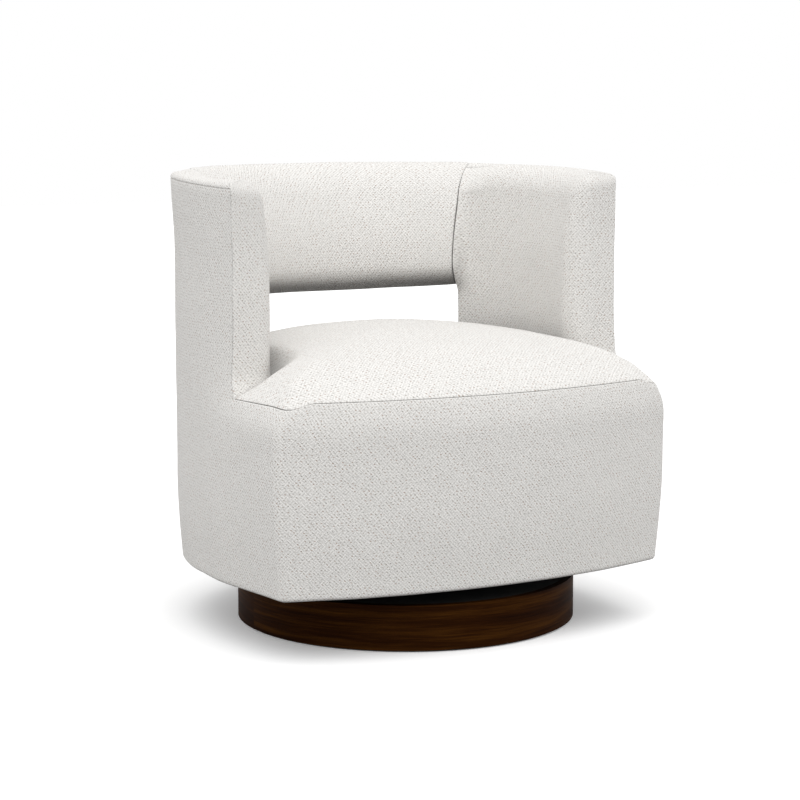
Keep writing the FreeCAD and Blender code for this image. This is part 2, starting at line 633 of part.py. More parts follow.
def make_frame():
    ring_z = RING_TOP_Z - RING_T
    hole_r = BOLT_R + HOLE_CLEARANCE
    upper_bolts = circle_points(UPPER_BOLT_CIRCLE_R, BOLT_COUNT, 0.0)
    panel_back = 180.0 - ARM_FRAME_BACK_ANGLE
    tool_r = SCREW_R + HOLE_CLEARANCE

    # Screws through the bent panels into the posts behind them
    arm_post_middles = [ARM_FRAME_ANGLE + 0.5 * POST_ANGLE, ARM_FRAME_BACK_ANGLE - 0.5 * POST_ANGLE]
    panel_screw_places = [(a, z) for a in post_angles()
                          for z in (DECK_TOP_Z + SCREW_END_MARGIN, ring_z - SCREW_END_MARGIN)]
    panel_screw_places += [(a, z) for a in arm_post_middles
                           for z in (RING_TOP_Z + SCREW_END_MARGIN, TOP_RAIL_Z - SCREW_END_MARGIN)]
    screws = [panel_screw(a, z) for a, z in panel_screw_places]
    nodes["panel_screws"] = Part.makeCompound(screws + [mirrored(s) for s in screws])
    tools = [panel_screw(a, z, HOLE_CLEARANCE) for a, z in panel_screw_places]
    panel_tool = Part.makeCompound(tools + [mirrored(t) for t in tools])

    # Posts stand in pairs, left and right, between the deck and the seat ring
    middle_r = POST_R - 0.5 * POST_DEPTH
    right_posts = []
    screw_places = []
    for angle in post_angles():
        half = 0.5 * POST_ANGLE
        right_posts.append(arc_block(POST_R - POST_DEPTH, POST_R, DECK_TOP_Z, ring_z, angle - half, angle + half))
        centre = barrel_point(middle_r, angle)
        screw_places.append((centre.x, centre.y))
    half = 0.5 * POST_DEPTH
    for x, y in front_post_places():
        corner = Vector(x - half, y, DECK_TOP_Z)
        right_posts.append(Part.makeBox(POST_DEPTH, POST_DEPTH, ring_z - DECK_TOP_Z, corner))
        screw_places.append((x, y + half))
    screw_places = screw_places + [(-x, y) for x, y in screw_places]
    deck_tool = holes(screw_places, tool_r, BODY_Z, BODY_Z + SCREW_LENGTH + FIT)
    ring_tool = holes(screw_places, tool_r, RING_TOP_Z - SCREW_LENGTH - FIT, RING_TOP_Z)
    posts = right_posts + [mirrored(p) for p in right_posts]
    posts = [p.cut(deck_tool).cut(ring_tool).cut(panel_tool) for p in posts]
    nodes["seat_posts"] = Part.makeCompound(posts)
    nodes["deck_screws"] = Part.makeCompound([upright_screw(x, y, BODY_Z) for x, y in screw_places])
    nodes["ring_screws"] = Part.makeCompound(
        [upright_screw(x, y, RING_TOP_Z - SCREW_LENGTH) for x, y in screw_places])

    wall = wall_ring(PANEL_R, BODY_Z, RING_TOP_Z)
    deck = prism(FRAME_INSET, BODY_Z, DECK_TOP_Z).cut(wall)
    deck = deck.cut(ring(PIN_HEAD_R + DECK_HOLE_CLEARANCE, 0, BODY_Z, DECK_TOP_Z))
    deck = deck.cut(holes(upper_bolts, hole_r, BODY_Z, DECK_TOP_Z))
    nodes["bottom_deck"] = deck.cut(deck_tool)

    inside = prism(FRAME_INSET + PANEL_T, ring_z, RING_TOP_Z).cut(wall_ring(POST_R, ring_z, RING_TOP_Z))
    opening = prism(FRAME_INSET + PANEL_T + RING_WIDTH, ring_z, RING_TOP_Z)
    nodes["seat_ring"] = inside.cut(opening).cut(ring_tool)

    front = prism(FRAME_INSET, DECK_TOP_Z, RING_TOP_Z).cut(prism(FRAME_INSET + PANEL_T, DECK_TOP_Z, RING_TOP_Z))
    nodes["front_panel"] = front.common(front_zone(DECK_TOP_Z, RING_TOP_Z))
    back = arc_block(POST_R, PANEL_R, DECK_TOP_Z, RING_TOP_Z, ARM_FRAME_BACK_ANGLE, panel_back)
    nodes["back_lower_panel"] = back.cut(panel_tool)

    panel = arc_block(POST_R, PANEL_R, DECK_TOP_Z, TOP_RAIL_Z, ARM_FRAME_ANGLE, ARM_FRAME_BACK_ANGLE)
    arm_core.append(panel)
    panel = panel.cut(panel_tool)
    nodes["right_arm_panel"] = panel
    nodes["left_arm_panel"] = mirrored(panel)
    right_posts = []
    for start in (ARM_FRAME_ANGLE, ARM_FRAME_BACK_ANGLE - POST_ANGLE):
        post = arc_block(POST_R - ARM_POST_DEPTH, POST_R, RING_TOP_Z, TOP_RAIL_Z, start, start + POST_ANGLE)
        arm_core.append(post)
        right_posts.append(post.cut(panel_tool))
    nodes["right_arm_posts"] = Part.makeCompound(right_posts)
    nodes["left_arm_posts"] = Part.makeCompound([mirrored(p) for p in right_posts])
    nodes["top_rail"] = arc_block(PANEL_R - TOP_RAIL_DEPTH, PANEL_R, TOP_RAIL_Z, TOP_RAIL_Z + RAIL_T,
                                  ARM_FRAME_ANGLE, 180.0 - ARM_FRAME_ANGLE)
    nodes["lower_back_rail"] = arc_block(POST_R - LOWER_RAIL_DEPTH, POST_R, LOWER_RAIL_Z, LOWER_RAIL_Z + RAIL_T,
                                         ARM_FRAME_BACK_ANGLE, panel_back)
    nodes["bolster_board"] = arc_block(POST_R, PANEL_R, LOWER_RAIL_Z, TOP_RAIL_Z,
                                       ARM_FRAME_BACK_ANGLE, panel_back)
    plate_hole = ring(PLATE_R + DUST_HOLE_CLEARANCE, 0, BODY_Z - DUST_T, BODY_Z)
    nodes["dust_cover"] = prism(FRAME_INSET, BODY_Z - DUST_T, BODY_Z).cut(plate_hole)


def front_edge_y(x, inset):
    """Where the bowed front of the inset plan lies at a distance from the middle."""
    return FRONT_Y + inset + FRONT_BOW_R - math.sqrt(FRONT_BOW_R ** 2 - x ** 2)


def back_edge_y(x, inset):
    """Where the round back of the inset plan lies at a distance from the middle."""
    return BARREL_Y + math.sqrt((BARREL_R - inset) ** 2 - x ** 2)


def spring_wire(x, y0, y1):
    """One zigzag spring wire from the front of the seat ring to its back."""
    pitch = 2 * SPRING_LOOP_R
    count = 2 * int((y1 - y0 - 2 * SPRING_LANDING) / (2 * pitch))
    start = 0.5 * (y0 + y1) - 0.5 * count * pitch
    half = 0.5 * SPRING_BAR
    here = Vector(x - half, start, SPRING_Z)
    edges = []
    side = 1
    for i in range(count + 1):
        there = Vector(x + side * half, here.y, SPRING_Z)
        edges.append(Part.LineSegment(here, there).toShape())
        here = there
        if i < count:
            apex = Vector(here.x + side * SPRING_LOOP_R, here.y + SPRING_LOOP_R, SPRING_Z)
            a = Vector(here.x + side * SPRING_LOOP_R * math.sqrt(0.5),
                       here.y + SPRING_LOOP_R * (1 - math.sqrt(0.5)), SPRING_Z)
            b = Vector(a.x, here.y + SPRING_LOOP_R * (1 + math.sqrt(0.5)), SPRING_Z)
            end = Vector(here.x, here.y + pitch, SPRING_Z)
            edges.append(Part.Arc(here, a, apex).toShape())
            edges.append(Part.Arc(apex, b, end).toShape())
            here = end
        side = -side
    section = Part.Wire(Part.makeCircle(SPRING_WIRE_R, edges[0].Vertexes[0].Point, Vector(1, 0, 0)))
    wire = Part.Wire(edges).makePipeShell([section], True, False)
    return wire, start, start + count * pitch


def spring_clip(x, y, out):
    """A folded clip on the seat ring that holds a spring's end bar. out is the way to the ring."""
    length = CLIP_LENGTH
    y0 = y - 0.5 * length
    base = Part.makeBox(CLIP_WIDTH, length, CLIP_T, Vector(x - 0.5 * CLIP_WIDTH, y0, RING_TOP_Z))
    lip_y = y0 + length - CLIP_T if out > 0 else y0
    lip_height = 2 * SPRING_WIRE_R
    lip = Part.makeBox(CLIP_WIDTH, CLIP_T, lip_height, Vector(x - 0.5 * CLIP_WIDTH, lip_y, RING_TOP_Z + CLIP_T))
    return base.fuse(lip).removeSplitter()


def make_springs():
    reach = FRAME_INSET + PANEL_T + RING_WIDTH
    wires = []
    clips = []
    for i in range(SPRING_COUNT):
        x = (i - 0.5 * (SPRING_COUNT - 1)) * SPRING_SPACING
        edge_x = abs(x) + 0.5 * SPRING_BAR + SPRING_LOOP_R
        y0 = front_edge_y(edge_x, reach) - 2 * SPRING_LANDING
        y1 = back_edge_y(edge_x, reach) + 2 * SPRING_LANDING
        wire, first, last = spring_wire(x, y0, y1)
        wires.append(wire)
        clips.append(spring_clip(x, first, -1))
        clips.append(spring_clip(x, last, 1))
    nodes["seat_springs"] = Part.makeCompound(wires)
    nodes["spring_clips"] = Part.makeCompound(clips)
    nodes["spring_felt"] = prism(ARM_T + FIT, INSULATOR_Z, POCKET_TOP_Z)


def make_upholstery():
    outer = body_form(0.0)
    lining = body_form(COVER_T)
    core = barrel_disc(PANEL_R, BODY_Z, ARM_CREST_Z + OVERRUN)
    back_low = arc_block(POST_R, FAR, BODY_Z - TRIM, SEAM_Z, ARM_BACK_ANGLE, 180.0 - ARM_BACK_ANGLE)

    # Arms, outside layer first
    tall = arm_form(0.0, BODY_Z - TRIM)
    tall_lining = arm_form(COVER_T, BODY_Z - TRIM)
    right_outside = tall.common(outer).cut(lining)
    right_wadding = tall_lining.common(lining).cut(core)
    nodes["right_outside_cover"] = right_outside
    nodes["left_outside_cover"] = mirrored(right_outside)
    nodes["right_outside_wadding"] = right_wadding
    nodes["left_outside_wadding"] = mirrored(right_wadding)

    rails = [nodes["top_rail"], nodes["lower_back_rail"], nodes["bolster_board"]]
    arm = arm_form(0.0, RING_TOP_Z)
    arm_lining = arm_form(COVER_T, RING_TOP_Z)
    cover = arm.common(lining).cut(arm_lining)
    foam = arm_lining.common(core)
    for piece in rails:
        cover = cover.cut(piece)
    for piece in arm_core + rails:
        foam = foam.cut(piece)
    nodes["right_arm_cover"] = cover
    nodes["left_arm_cover"] = mirrored(cover)
    nodes["right_arm_foam"] = foam
    nodes["left_arm_foam"] = mirrored(foam)

    # Back bolster
    roll = roll_form(0.0)
    roll_lining = roll_form(COVER_T)
    inner_cover = roll.common(lining).cut(roll_lining)
    foam = roll_lining.common(lining)
    for piece in rails:
        inner_cover = inner_cover.cut(piece)
        foam = foam.cut(piece)
    nodes["bolster_cover"] = inner_cover
    nodes["bolster_outside_cover"] = roll.common(outer).cut(lining)
    nodes["bolster_foam"] = foam

    # Body below the seam, front and back
    zone = front_zone(BODY_Z - TRIM, SEAM_Z)
    nodes["front_cover"] = outer.common(zone).cut(lining)
    nodes["front_padding"] = lining.common(zone).cut(seat_core())
    nodes["back_lower_cover"] = outer.common(back_low).cut(lining)
    nodes["back_lower_padding"] = lining.common(back_low).cut(core)

    # Seat
    arm_room = arm_form(-FIT, RING_TOP_Z - TRIM)
    arm_rooms = [arm_room, mirrored(arm_room)]
    for room in arm_rooms:
        nodes["spring_felt"] = nodes["spring_felt"].cut(room)
    crown = crown_form(0.0)
    crown_lining = crown_form(COVER_T)
    top_cover = crown.cut(crown_lining)
    below = foam_block().cut(wall_ring(PANEL_R, RING_TOP_Z, SEAM_Z))
    pocket = prism(FRAME_INSET + PANEL_T + RING_WIDTH - 3 * SPRING_LANDING, RING_TOP_Z, POCKET_TOP_Z)
    foam = below.fuse(crown_lining).removeSplitter().cut(pocket)
    for room in arm_rooms:
        top_cover = top_cover.cut(room)
        foam = foam.cut(room)
    nodes["seat_cover"] = top_cover
    nodes["seat_foam"] = foam


def main():
    make_plinth()
    make_swivel()
    make_frame()
    make_springs()
    make_upholstery()
    os.makedirs("parts", exist_ok=True)
    for name, shape in nodes.items():
        solids = shape.Solids
        shape = solids[0] if len(solids) == 1 else Part.makeCompound(solids)
        print(name, len(solids), "solids", round(shape.Volume / 1000.0, 1), "cm3", "valid", shape.isValid())
        shape.exportStep("parts/" + name + ".step")


main()
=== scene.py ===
"""Swivel barrel chair: covers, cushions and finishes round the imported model.

Metres, +Z up, with the front of the chair towards -Y. Pieces that come in pairs are built on
the chair's right side (+X) and mirrored.
"""

import json
import math

import bmesh
import bpy
import numpy as np
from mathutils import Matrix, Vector
from mathutils.geometry import delaunay_2d_cdt


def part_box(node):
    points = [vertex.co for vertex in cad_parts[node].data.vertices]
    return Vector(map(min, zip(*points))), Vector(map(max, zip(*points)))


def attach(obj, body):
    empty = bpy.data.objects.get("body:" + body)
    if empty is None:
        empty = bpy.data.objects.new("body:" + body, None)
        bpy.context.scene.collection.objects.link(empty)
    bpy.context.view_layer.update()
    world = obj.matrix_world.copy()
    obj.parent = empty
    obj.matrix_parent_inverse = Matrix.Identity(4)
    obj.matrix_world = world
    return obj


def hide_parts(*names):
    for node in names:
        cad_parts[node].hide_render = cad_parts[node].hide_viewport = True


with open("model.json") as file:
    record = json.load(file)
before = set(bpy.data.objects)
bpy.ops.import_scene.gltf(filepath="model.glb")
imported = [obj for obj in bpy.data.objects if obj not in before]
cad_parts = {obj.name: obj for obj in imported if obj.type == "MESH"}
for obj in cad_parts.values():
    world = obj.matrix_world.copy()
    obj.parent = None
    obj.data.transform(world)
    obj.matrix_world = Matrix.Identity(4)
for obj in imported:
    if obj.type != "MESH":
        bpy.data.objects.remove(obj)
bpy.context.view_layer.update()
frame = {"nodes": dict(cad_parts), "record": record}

# Camera, as fitted to the photograph
CAMERA_PLACE = (-1.8423, -3.3814, 0.8929)
CAMERA_TILT = 7.8894
CAMERA_TURN = 28.4442
CAMERA_LENS = 105.58
SENSOR = 36.0

# Heights that the frame gives
BODY_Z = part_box("bottom_deck")[0].z
SEAM_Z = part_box("front_cover")[1].z
ARM_CREST_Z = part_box("right_arm_cover")[1].z
ROLL_BOTTOM_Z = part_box("bolster_cover")[0].z
ROLL_CREST_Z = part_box("bolster_cover")[1].z
SEAT_APEX_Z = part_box("seat_cover")[1].z
SEAT_FLOOR_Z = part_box("seat_foam")[0].z

# Barrel and body plan
BARREL_Y = 0.023
BARREL_R = 0.369
TOP_FLARE = 0.005
BASE_BACK_INSET = 0.007
BASE_FRONT_INSET = 0.010
BASE_ROUND = 0.008
SIDE_Y = -0.042
SIDE_X = BARREL_R + 0.003
CREASE_Y = -0.100
CREASE_X = BARREL_R - 0.001
CORNER_X = BARREL_R - 0.014
CORNER_Y = -0.227
CORNER_R = 0.019
FRONT_Y = -0.303
FRONT_BOW_R = 1.057
BELLY_Z = 0.317
SEAM_INSET = 0.009

# Seams along the top of the body
SEAM_FRONT_Z = SEAM_Z + 0.003
SEAM_SIDE_Z = SEAM_Z - 0.004
SEAM_CORNER_Z = SEAM_Z - 0.0055
SEAM_DIP_RUN = 0.030

# Arms
ARM_T = 0.073
ARM_INNER_R = BARREL_R - ARM_T
ARM_FRONT_Y = -0.0905
ARM_END_TURN = 9.2
ARM_BACK_ANGLE = 41.0
ARM_SEAM_Z = ARM_CREST_Z - 0.015
ARM_INNER_ROUND = 0.042
ARM_CORNER_ROUND = 0.034
ARM_NOSE_ROUND = 0.025
ARM_END_ROUND = 0.003
ARM_FOOT_Z = SEAM_Z - 0.012
ARM_LEDGE_DROP = 0.0016

# Back bolster
ROLL_ROUND = 0.043
ROLL_DEPTH = 0.106
ROLL_WAIST_Z = 0.620
ROLL_WAIST_DEPTH = 0.099
ROLL_SHOULDER_Z = 0.679
ROLL_SHOULDER_DEPTH = 0.077
ROLL_CREST_DEPTH = 0.011
ROLL_END_ROUND = 0.004
ROLL_SAG = 0.006
ROLL_LOW_Z = (0.520, 0.600)
ROLL_END_GAP = 0.0004
ROLL_TOP_POINTS = 4

# Seat
SEAT_APEX_Y = 0.020
CROWN_DROP = 0.051
CROWN_EDGE_DROP = 0.0495
CROWN_EDGE_POWER = 7
SEAT_TUCK = 0.012
SEAT_TUCK_RUN = 0.050
SEAT_SEAM_GAP = 0.0016
SEAM_OPENING = 0.0016
SEAT_CORNER_Z = SEAM_Z + 0.016
SEAT_CORNER_RUN = 0.12
SEAT_FRONT_RUN = 0.035
SEAT_SIDE_GAP = 0.0006
SEAT_BACK_GAP = 0.0018
SEAT_GRID = 0.0085
SEAT_GRID_EDGE = 0.006

# Soft padding inside the arms, thickest low down at the front
ARM_SWELL = 0.0135
SWELL_TOP_Z = ARM_CREST_Z + 0.019
SWELL_FULL_Z = 0.575
END_SWELL_RUN = 0.032
SWELL_AHEAD = (math.radians(38.0), math.radians(40.0))

# The bolster's front past the arm's inner face, by height above its underside
ROLL_OFFSETS = np.array([
    (-0.012, 0.0), (0.0, 0.004), (0.015, 0.018), (0.029, 0.026), (0.044, 0.031), (0.067, 0.029),
    (0.090, 0.025), (0.110, 0.019), (0.135, 0.010), (0.154, 0.004), (0.170, 0.0),
])

# The arms' tops fall towards the front and ease into the bolster's slope at the back. Turns are
# in degrees about the barrel axis.
CREST_DROP = (0.003, 0.0095)
CREST_FALL_TURN = 48.0
SEAM_DROP = (-0.003, 0.0075)
SEAM_FALL_START = 30.0
SEAM_FALL_TURN = 60.0
DROP_FADE_Z = (0.640, 0.710)
END_BLEND_TURN = 15.0
OUTER_FADE_R = (0.014, 0.036)
FLARE_LOSS = 0.75
FLARE_LOSS_START = 12.0
FLARE_LOSS_TURN = 28.0
FLARE_LOSS_Z = (0.618, 0.718)

# The arm's foot, where its front face runs out to the crease below the seat
FOOT_KICK = 0.0119
FOOT_KICK_Z = (0.388, 0.432)
ARM_LIP = 0.0034
ARM_EDGE_ROUND = 0.003

# Covers
SKIN_T = 0.006
UNDER_SKIN = SKIN_T + 0.0003
SEAM_ROUND = 0.0014
EASE = 0.0004
EASE_WAVES = 6
TOP_GAP = 0.0013
UNDER_TURN = 0.016
GRID = 0.010

ARM_FRONT_ANGLE = -math.asin((BARREL_Y - ARM_FRONT_Y) / BARREL_R)
BACK_ANGLE = math.radians(ARM_BACK_ANGLE)
CENTRE = np.array([0.0, BARREL_Y])
END_TURN = math.radians(ARM_END_TURN)
ARM_OUT = np.array([-math.sin(END_TURN), -math.cos(END_TURN)])
ARM_INWARDS = np.array([-math.cos(END_TURN), math.sin(END_TURN)])
ARM_EDGE = BARREL_R * np.array([math.cos(ARM_FRONT_ANGLE), math.sin(ARM_FRONT_ANGLE)])

# Inset at the back and sides, inset at the front, and bulge of the sides, by height
BODY_LEVELS = np.array([
    (BODY_Z + BASE_ROUND, BASE_BACK_INSET, BASE_FRONT_INSET, 1.0),
    (0.1905, 0.001, 0.003, 1.0),
    (BELLY_Z, 0.0, 0.0, 1.0),
    (0.368, 0.0, 0.001, 0.85),
    (SEAM_Z, 0.0, SEAM_INSET, 0.45),
    (0.510, 0.0, 0.042, 0.0),
    (0.618, 0.0, 0.070, 0.0),
    (ARM_SEAM_Z, -TOP_FLARE, 0.084, 0.0),
    (ARM_CREST_Z + 0.012, -TOP_FLARE, 0.084, 0.0),
])


def lerp(a, b, t):
    return a + (b - a) * t


def smooth(t):
    """A soft step from 0 to 1."""
    t = np.clip(t, 0.0, 1.0)
    return t * t * (3 - 2 * t)


def fade(value, limits):
    """A soft step from 0 at the first limit to 1 at the second."""
    return smooth((value - limits[0]) / (limits[1] - limits[0]))


def rounded(depth, radius):
    """How far a rounded edge of this radius sinks at a distance from its border."""
    near = np.clip(radius - depth, 0.0, radius)
    return radius - np.sqrt(radius ** 2 - near ** 2)


def arc_through(a, m, b, count):
    """Points along the circle through three points, both ends included."""
    (ax, ay), (mx, my), (bx, by) = a, m, b
    d = 2 * (ax * (my - by) + mx * (by - ay) + bx * (ay - my))
    aa, mm, bb = ax * ax + ay * ay, mx * mx + my * my, bx * bx + by * by
    cx = (aa * (my - by) + mm * (by - ay) + bb * (ay - my)) / d
    cy = (aa * (bx - mx) + mm * (ax - bx) + bb * (mx - ax)) / d
    start = math.atan2(ay - cy, ax - cx)
    turn = math.atan2(by - cy, bx - cx) - start
    turn = (turn + math.pi) % (2 * math.pi) - math.pi
    radius = math.hypot(ax - cx, ay - cy)
    angles = start + turn * np.linspace(0, 1, count)
    return np.stack([cx + radius * np.cos(angles), cy + radius * np.sin(angles)], 1)


def line(a, b, count):
    return np.array(a) + (np.array(b) - np.array(a)) * np.linspace(0, 1, count)[:, None]


def run_of(points):
    """Distance along a row of points."""
    steps = np.linalg.norm(np.diff(points, axis=0), axis=1)
    return np.concatenate([[0.0], np.cumsum(steps)])


def along(points, run, places):
    """Points at distances along a row of points."""
    return np.stack([np.interp(places, run, points[:, k]) for k in range(points.shape[1])], 1)


def spread(length):
    """Distances from 0 to length, close together near both ends."""
    edge = SEAM_ROUND * np.array([0.0, 0.12, 0.4, 1.0])
    count = max(2, int(round((length - 2 * SEAM_ROUND) / GRID)))
    middle = np.linspace(SEAM_ROUND, length - SEAM_ROUND, count + 1)[1:-1]
    return np.concatenate([edge, middle, length - edge[::-1]])


def directions(angles):
    return np.stack([np.cos(angles), np.sin(angles)], 1)


def inwards(points):
    """Unit directions from plan points towards the top of the seat."""
    toward = np.array([0.0, SEAT_APEX_Y]) - points
    return toward / np.linalg.norm(toward, axis=1, keepdims=True)


def linked(name, data):
    """A new object in the scene."""
    piece = bpy.data.objects.new(name, data)
    bpy.context.scene.collection.objects.link(piece)
    return piece


def body_at(z):
    """The body's insets and bulge at a height, as a smooth curve through the levels."""
    if z < BODY_LEVELS[0, 0]:
        extra = rounded(max(z - BODY_Z, 0.0), BASE_ROUND)
        return BASE_BACK_INSET + extra, BASE_FRONT_INSET + extra, 1.0
    heights = BODY_LEVELS[:, 0]
    i = int(np.clip(np.searchsorted(heights, z) - 1, 0, len(heights) - 2))
    slopes = np.gradient(BODY_LEVELS[:, 1:], heights, axis=0)
    span = heights[i + 1] - heights[i]
    t = (z - heights[i]) / span
    a, b = BODY_LEVELS[i, 1:], BODY_LEVELS[i + 1, 1:]
    value = (a * (1 + 2 * t) * (1 - t) ** 2 + slopes[i] * span * t * (1 - t) ** 2
             + b * t * t * (3 - 2 * t) - slopes[i + 1] * span * t * t * (1 - t))
    return value[0], value[1], float(np.clip(value[2], 0.0, 1.0))


def half_outline(back_in, front_in, bulge):
    """The right half of the body's plan, from the middle of the back to the middle of the
    front, and the indices where the front corner starts and ends."""
    r = BARREL_R - back_in
    round_side = math.sqrt(r ** 2 - (BARREL_Y - SIDE_Y) ** 2)
    round_crease = math.sqrt(r ** 2 - (BARREL_Y - CREASE_Y) ** 2)
    side = (lerp(round_side, SIDE_X - back_in, bulge), SIDE_Y)
    crease = np.array([lerp(round_crease, CREASE_X - back_in, bulge), CREASE_Y])
    corner_x = CORNER_X - front_in - (CREASE_X - back_in - crease[0])
    to_side = np.array([corner_x, CORNER_Y]) - crease
    to_side = to_side / np.linalg.norm(to_side)
    hub_y = FRONT_Y + front_in + FRONT_BOW_R
    from_hub = crease - np.array([0.0, hub_y])
    ahead = float(from_hub @ to_side)
    reach = -ahead + math.sqrt(ahead ** 2 - float(from_hub @ from_hub) + FRONT_BOW_R ** 2)
    tip = crease + to_side * reach
    slope = math.asin(tip[0] / FRONT_BOW_R)
    to_front = np.array([-math.cos(slope), -math.sin(slope)])
    radius = max(CORNER_R - 0.5 * front_in, 0.004)
    half = 0.5 * math.acos(float(np.clip(to_side @ to_front, -1, 1)))
    tangent = radius * math.tan(half)
    start, end = tip - to_side * tangent, tip + to_front * tangent
    inward = (to_front - to_side) / np.linalg.norm(to_front - to_side)
    middle = tip + inward * (radius / math.cos(half) - radius)
    turns = np.radians(np.linspace(90, 0, 73))
    back = np.stack([r * np.cos(turns), BARREL_Y + r * np.sin(turns)], 1)
    across = np.linspace(end[0], 0.0, 61)
    front = np.stack([across, hub_y - np.sqrt(FRONT_BOW_R ** 2 - across ** 2)], 1)
    parts = [back, arc_through(back[-1], side, crease, 33)[1:], line(crease, start, 25)[1:],
             arc_through(start, middle, end, 17)[1:], front[1:]]
    corner_start = sum(len(p) for p in parts[:3]) - 1
    return np.concatenate(parts), corner_start, corner_start + 16


def foot_kick(z):
    """How far the arm's front face stands forward at a height, near its foot."""
    return FOOT_KICK * (1 - fade(z, FOOT_KICK_Z))


def fall_to_front(points):
    """The arm's top, lowered towards the front and at its back end, with less flare in front."""
    plan_x, plan_y, height = points[..., 0], points[..., 1] - BARREL_Y, points[..., 2]
    angle = np.degrees(np.arctan2(plan_y, plan_x))
    radius = np.hypot(plan_x, plan_y)
    outer = fade(radius - ARM_INNER_R - ARM_INNER_ROUND, OUTER_FADE_R)
    ahead = smooth((ARM_BACK_ANGLE - angle) / END_BLEND_TURN)
    crest = lerp(*CREST_DROP, smooth((ARM_BACK_ANGLE - angle) / CREST_FALL_TURN)) * ahead
    seam = lerp(*SEAM_DROP, smooth((SEAM_FALL_START - angle) / SEAM_FALL_TURN) ** 1.5) * ahead
    section = roll_section()
    shoulder = int(np.argmax(section[:, 1] >= ROLL_SHOULDER_Z))
    seam_end = int(np.argmax(section[:, 1])) + ROLL_TOP_POINTS
    top = section[shoulder:seam_end]
    over = np.maximum(height - np.interp(radius, top[:, 0], top[:, 1]), 0.0)
    at_end = smooth((angle - ARM_BACK_ANGLE) / END_BLEND_TURN + 1.0)
    fallen = points.copy()
    fallen[..., 2] -= over * at_end + lerp(crest, seam, outer) * fade(height, DROP_FADE_Z)
    in_front = smooth((FLARE_LOSS_START - angle) / FLARE_LOSS_TURN)
    loss = FLARE_LOSS * TOP_FLARE * outer * in_front * fade(height, FLARE_LOSS_Z)
    fallen[..., 0] -= loss * plan_x / radius
    fallen[..., 1] -= loss * plan_y / radius
    return fallen


def front_depth(points):
    """How far points lie behind the plane of the right arm's front face."""
    return -((points - CENTRE - ARM_EDGE) @ ARM_OUT)


def plan(z):
    """The right half of the plan at a height, with its run and the places along it of the
    bolster's end, the front edge of the outside cover, both ends of the corner, and its end."""
    points, corner_start, corner_end = half_outline(*body_at(z))
    run = run_of(points)
    r = BARREL_R - body_at(z)[0]
    back = r * (0.5 * math.pi - BACK_ANGLE)
    edge_depth = ARM_LIP - foot_kick(z)
    depth = front_depth(points)
    past_back = 60
    ahead = slice(past_back, corner_start)
    edge = float(np.interp(-edge_depth, -depth[ahead], run[ahead]))
    return points, run, (back, edge, run[corner_start], run[corner_end], run[-1])


def wave(points, seed, size=0.09):
    """A slow, small unevenness of stuffed cloth, from -1 to 1, by place."""
    total = np.zeros(points.shape[:-1])
    turn = np.random.default_rng(seed)
    for _ in range(EASE_WAVES):
        way = turn.normal(size=3)
        way = way / np.linalg.norm(way) * (2 * math.pi / size) * turn.uniform(0.5, 1.4)
        total = total + np.sin(points @ way + turn.uniform(0, 2 * math.pi))
    return 0.7 * total / math.sqrt(EASE_WAVES)


class Form:
    """The points and faces of one piece, with a place on the cloth for each face corner."""

    def __init__(self):
        self.points = []
        self.faces = []
        self.cloth = []
        self.count = 0

    def add(self, points):
        points = np.asarray(points, float)
        flat = points.reshape(-1, 3)
        index = np.arange(self.count, self.count + len(flat)).reshape(points.shape[:-1])
        self.points.append(flat)
        self.count += len(flat)
        return index

    def grid(self, index, cloth):
        """Faces between the rows and columns of a grid of points."""
        def corners(a):
            return np.stack([a[:-1, :-1], a[:-1, 1:], a[1:, 1:], a[1:, :-1]], 2)
        self.faces.extend(corners(index).reshape(-1, 4).tolist())
        self.cloth.append(corners(cloth).reshape(-1, 2))

    def loose(self, faces, cloth):
        """Faces given one by one, with one place on the cloth for each point of each face."""
        self.faces.extend(faces)
        self.cloth.append(np.asarray(cloth, float).reshape(-1, 2))

    def piece(self, name, mirror=False):
        points = np.concatenate(self.points)
        if mirror:
            points = points * (-1, 1, 1)
        mesh = bpy.data.meshes.new(name)
        mesh.from_pydata(points.tolist(), [], self.faces)
        layer = mesh.uv_layers.new(name="cloth")
        layer.data.foreach_set("uv", np.concatenate(self.cloth).astype(np.float32).ravel())
        mesh.shade_smooth()
        work = bmesh.new()
        work.from_mesh(mesh)
        bmesh.ops.recalc_face_normals(work, faces=work.faces)
        work.to_mesh(mesh)
        work.free()
        return linked(name, mesh)


def facing(surface):
    """Unit normals of a grid of points whose rows go up and whose columns go to the right."""
    across = np.gradient(surface, axis=1)
    up = np.gradient(surface, axis=0)
    normal = np.cross(across, up)
    return normal / np.linalg.norm(normal, axis=2, keepdims=True)


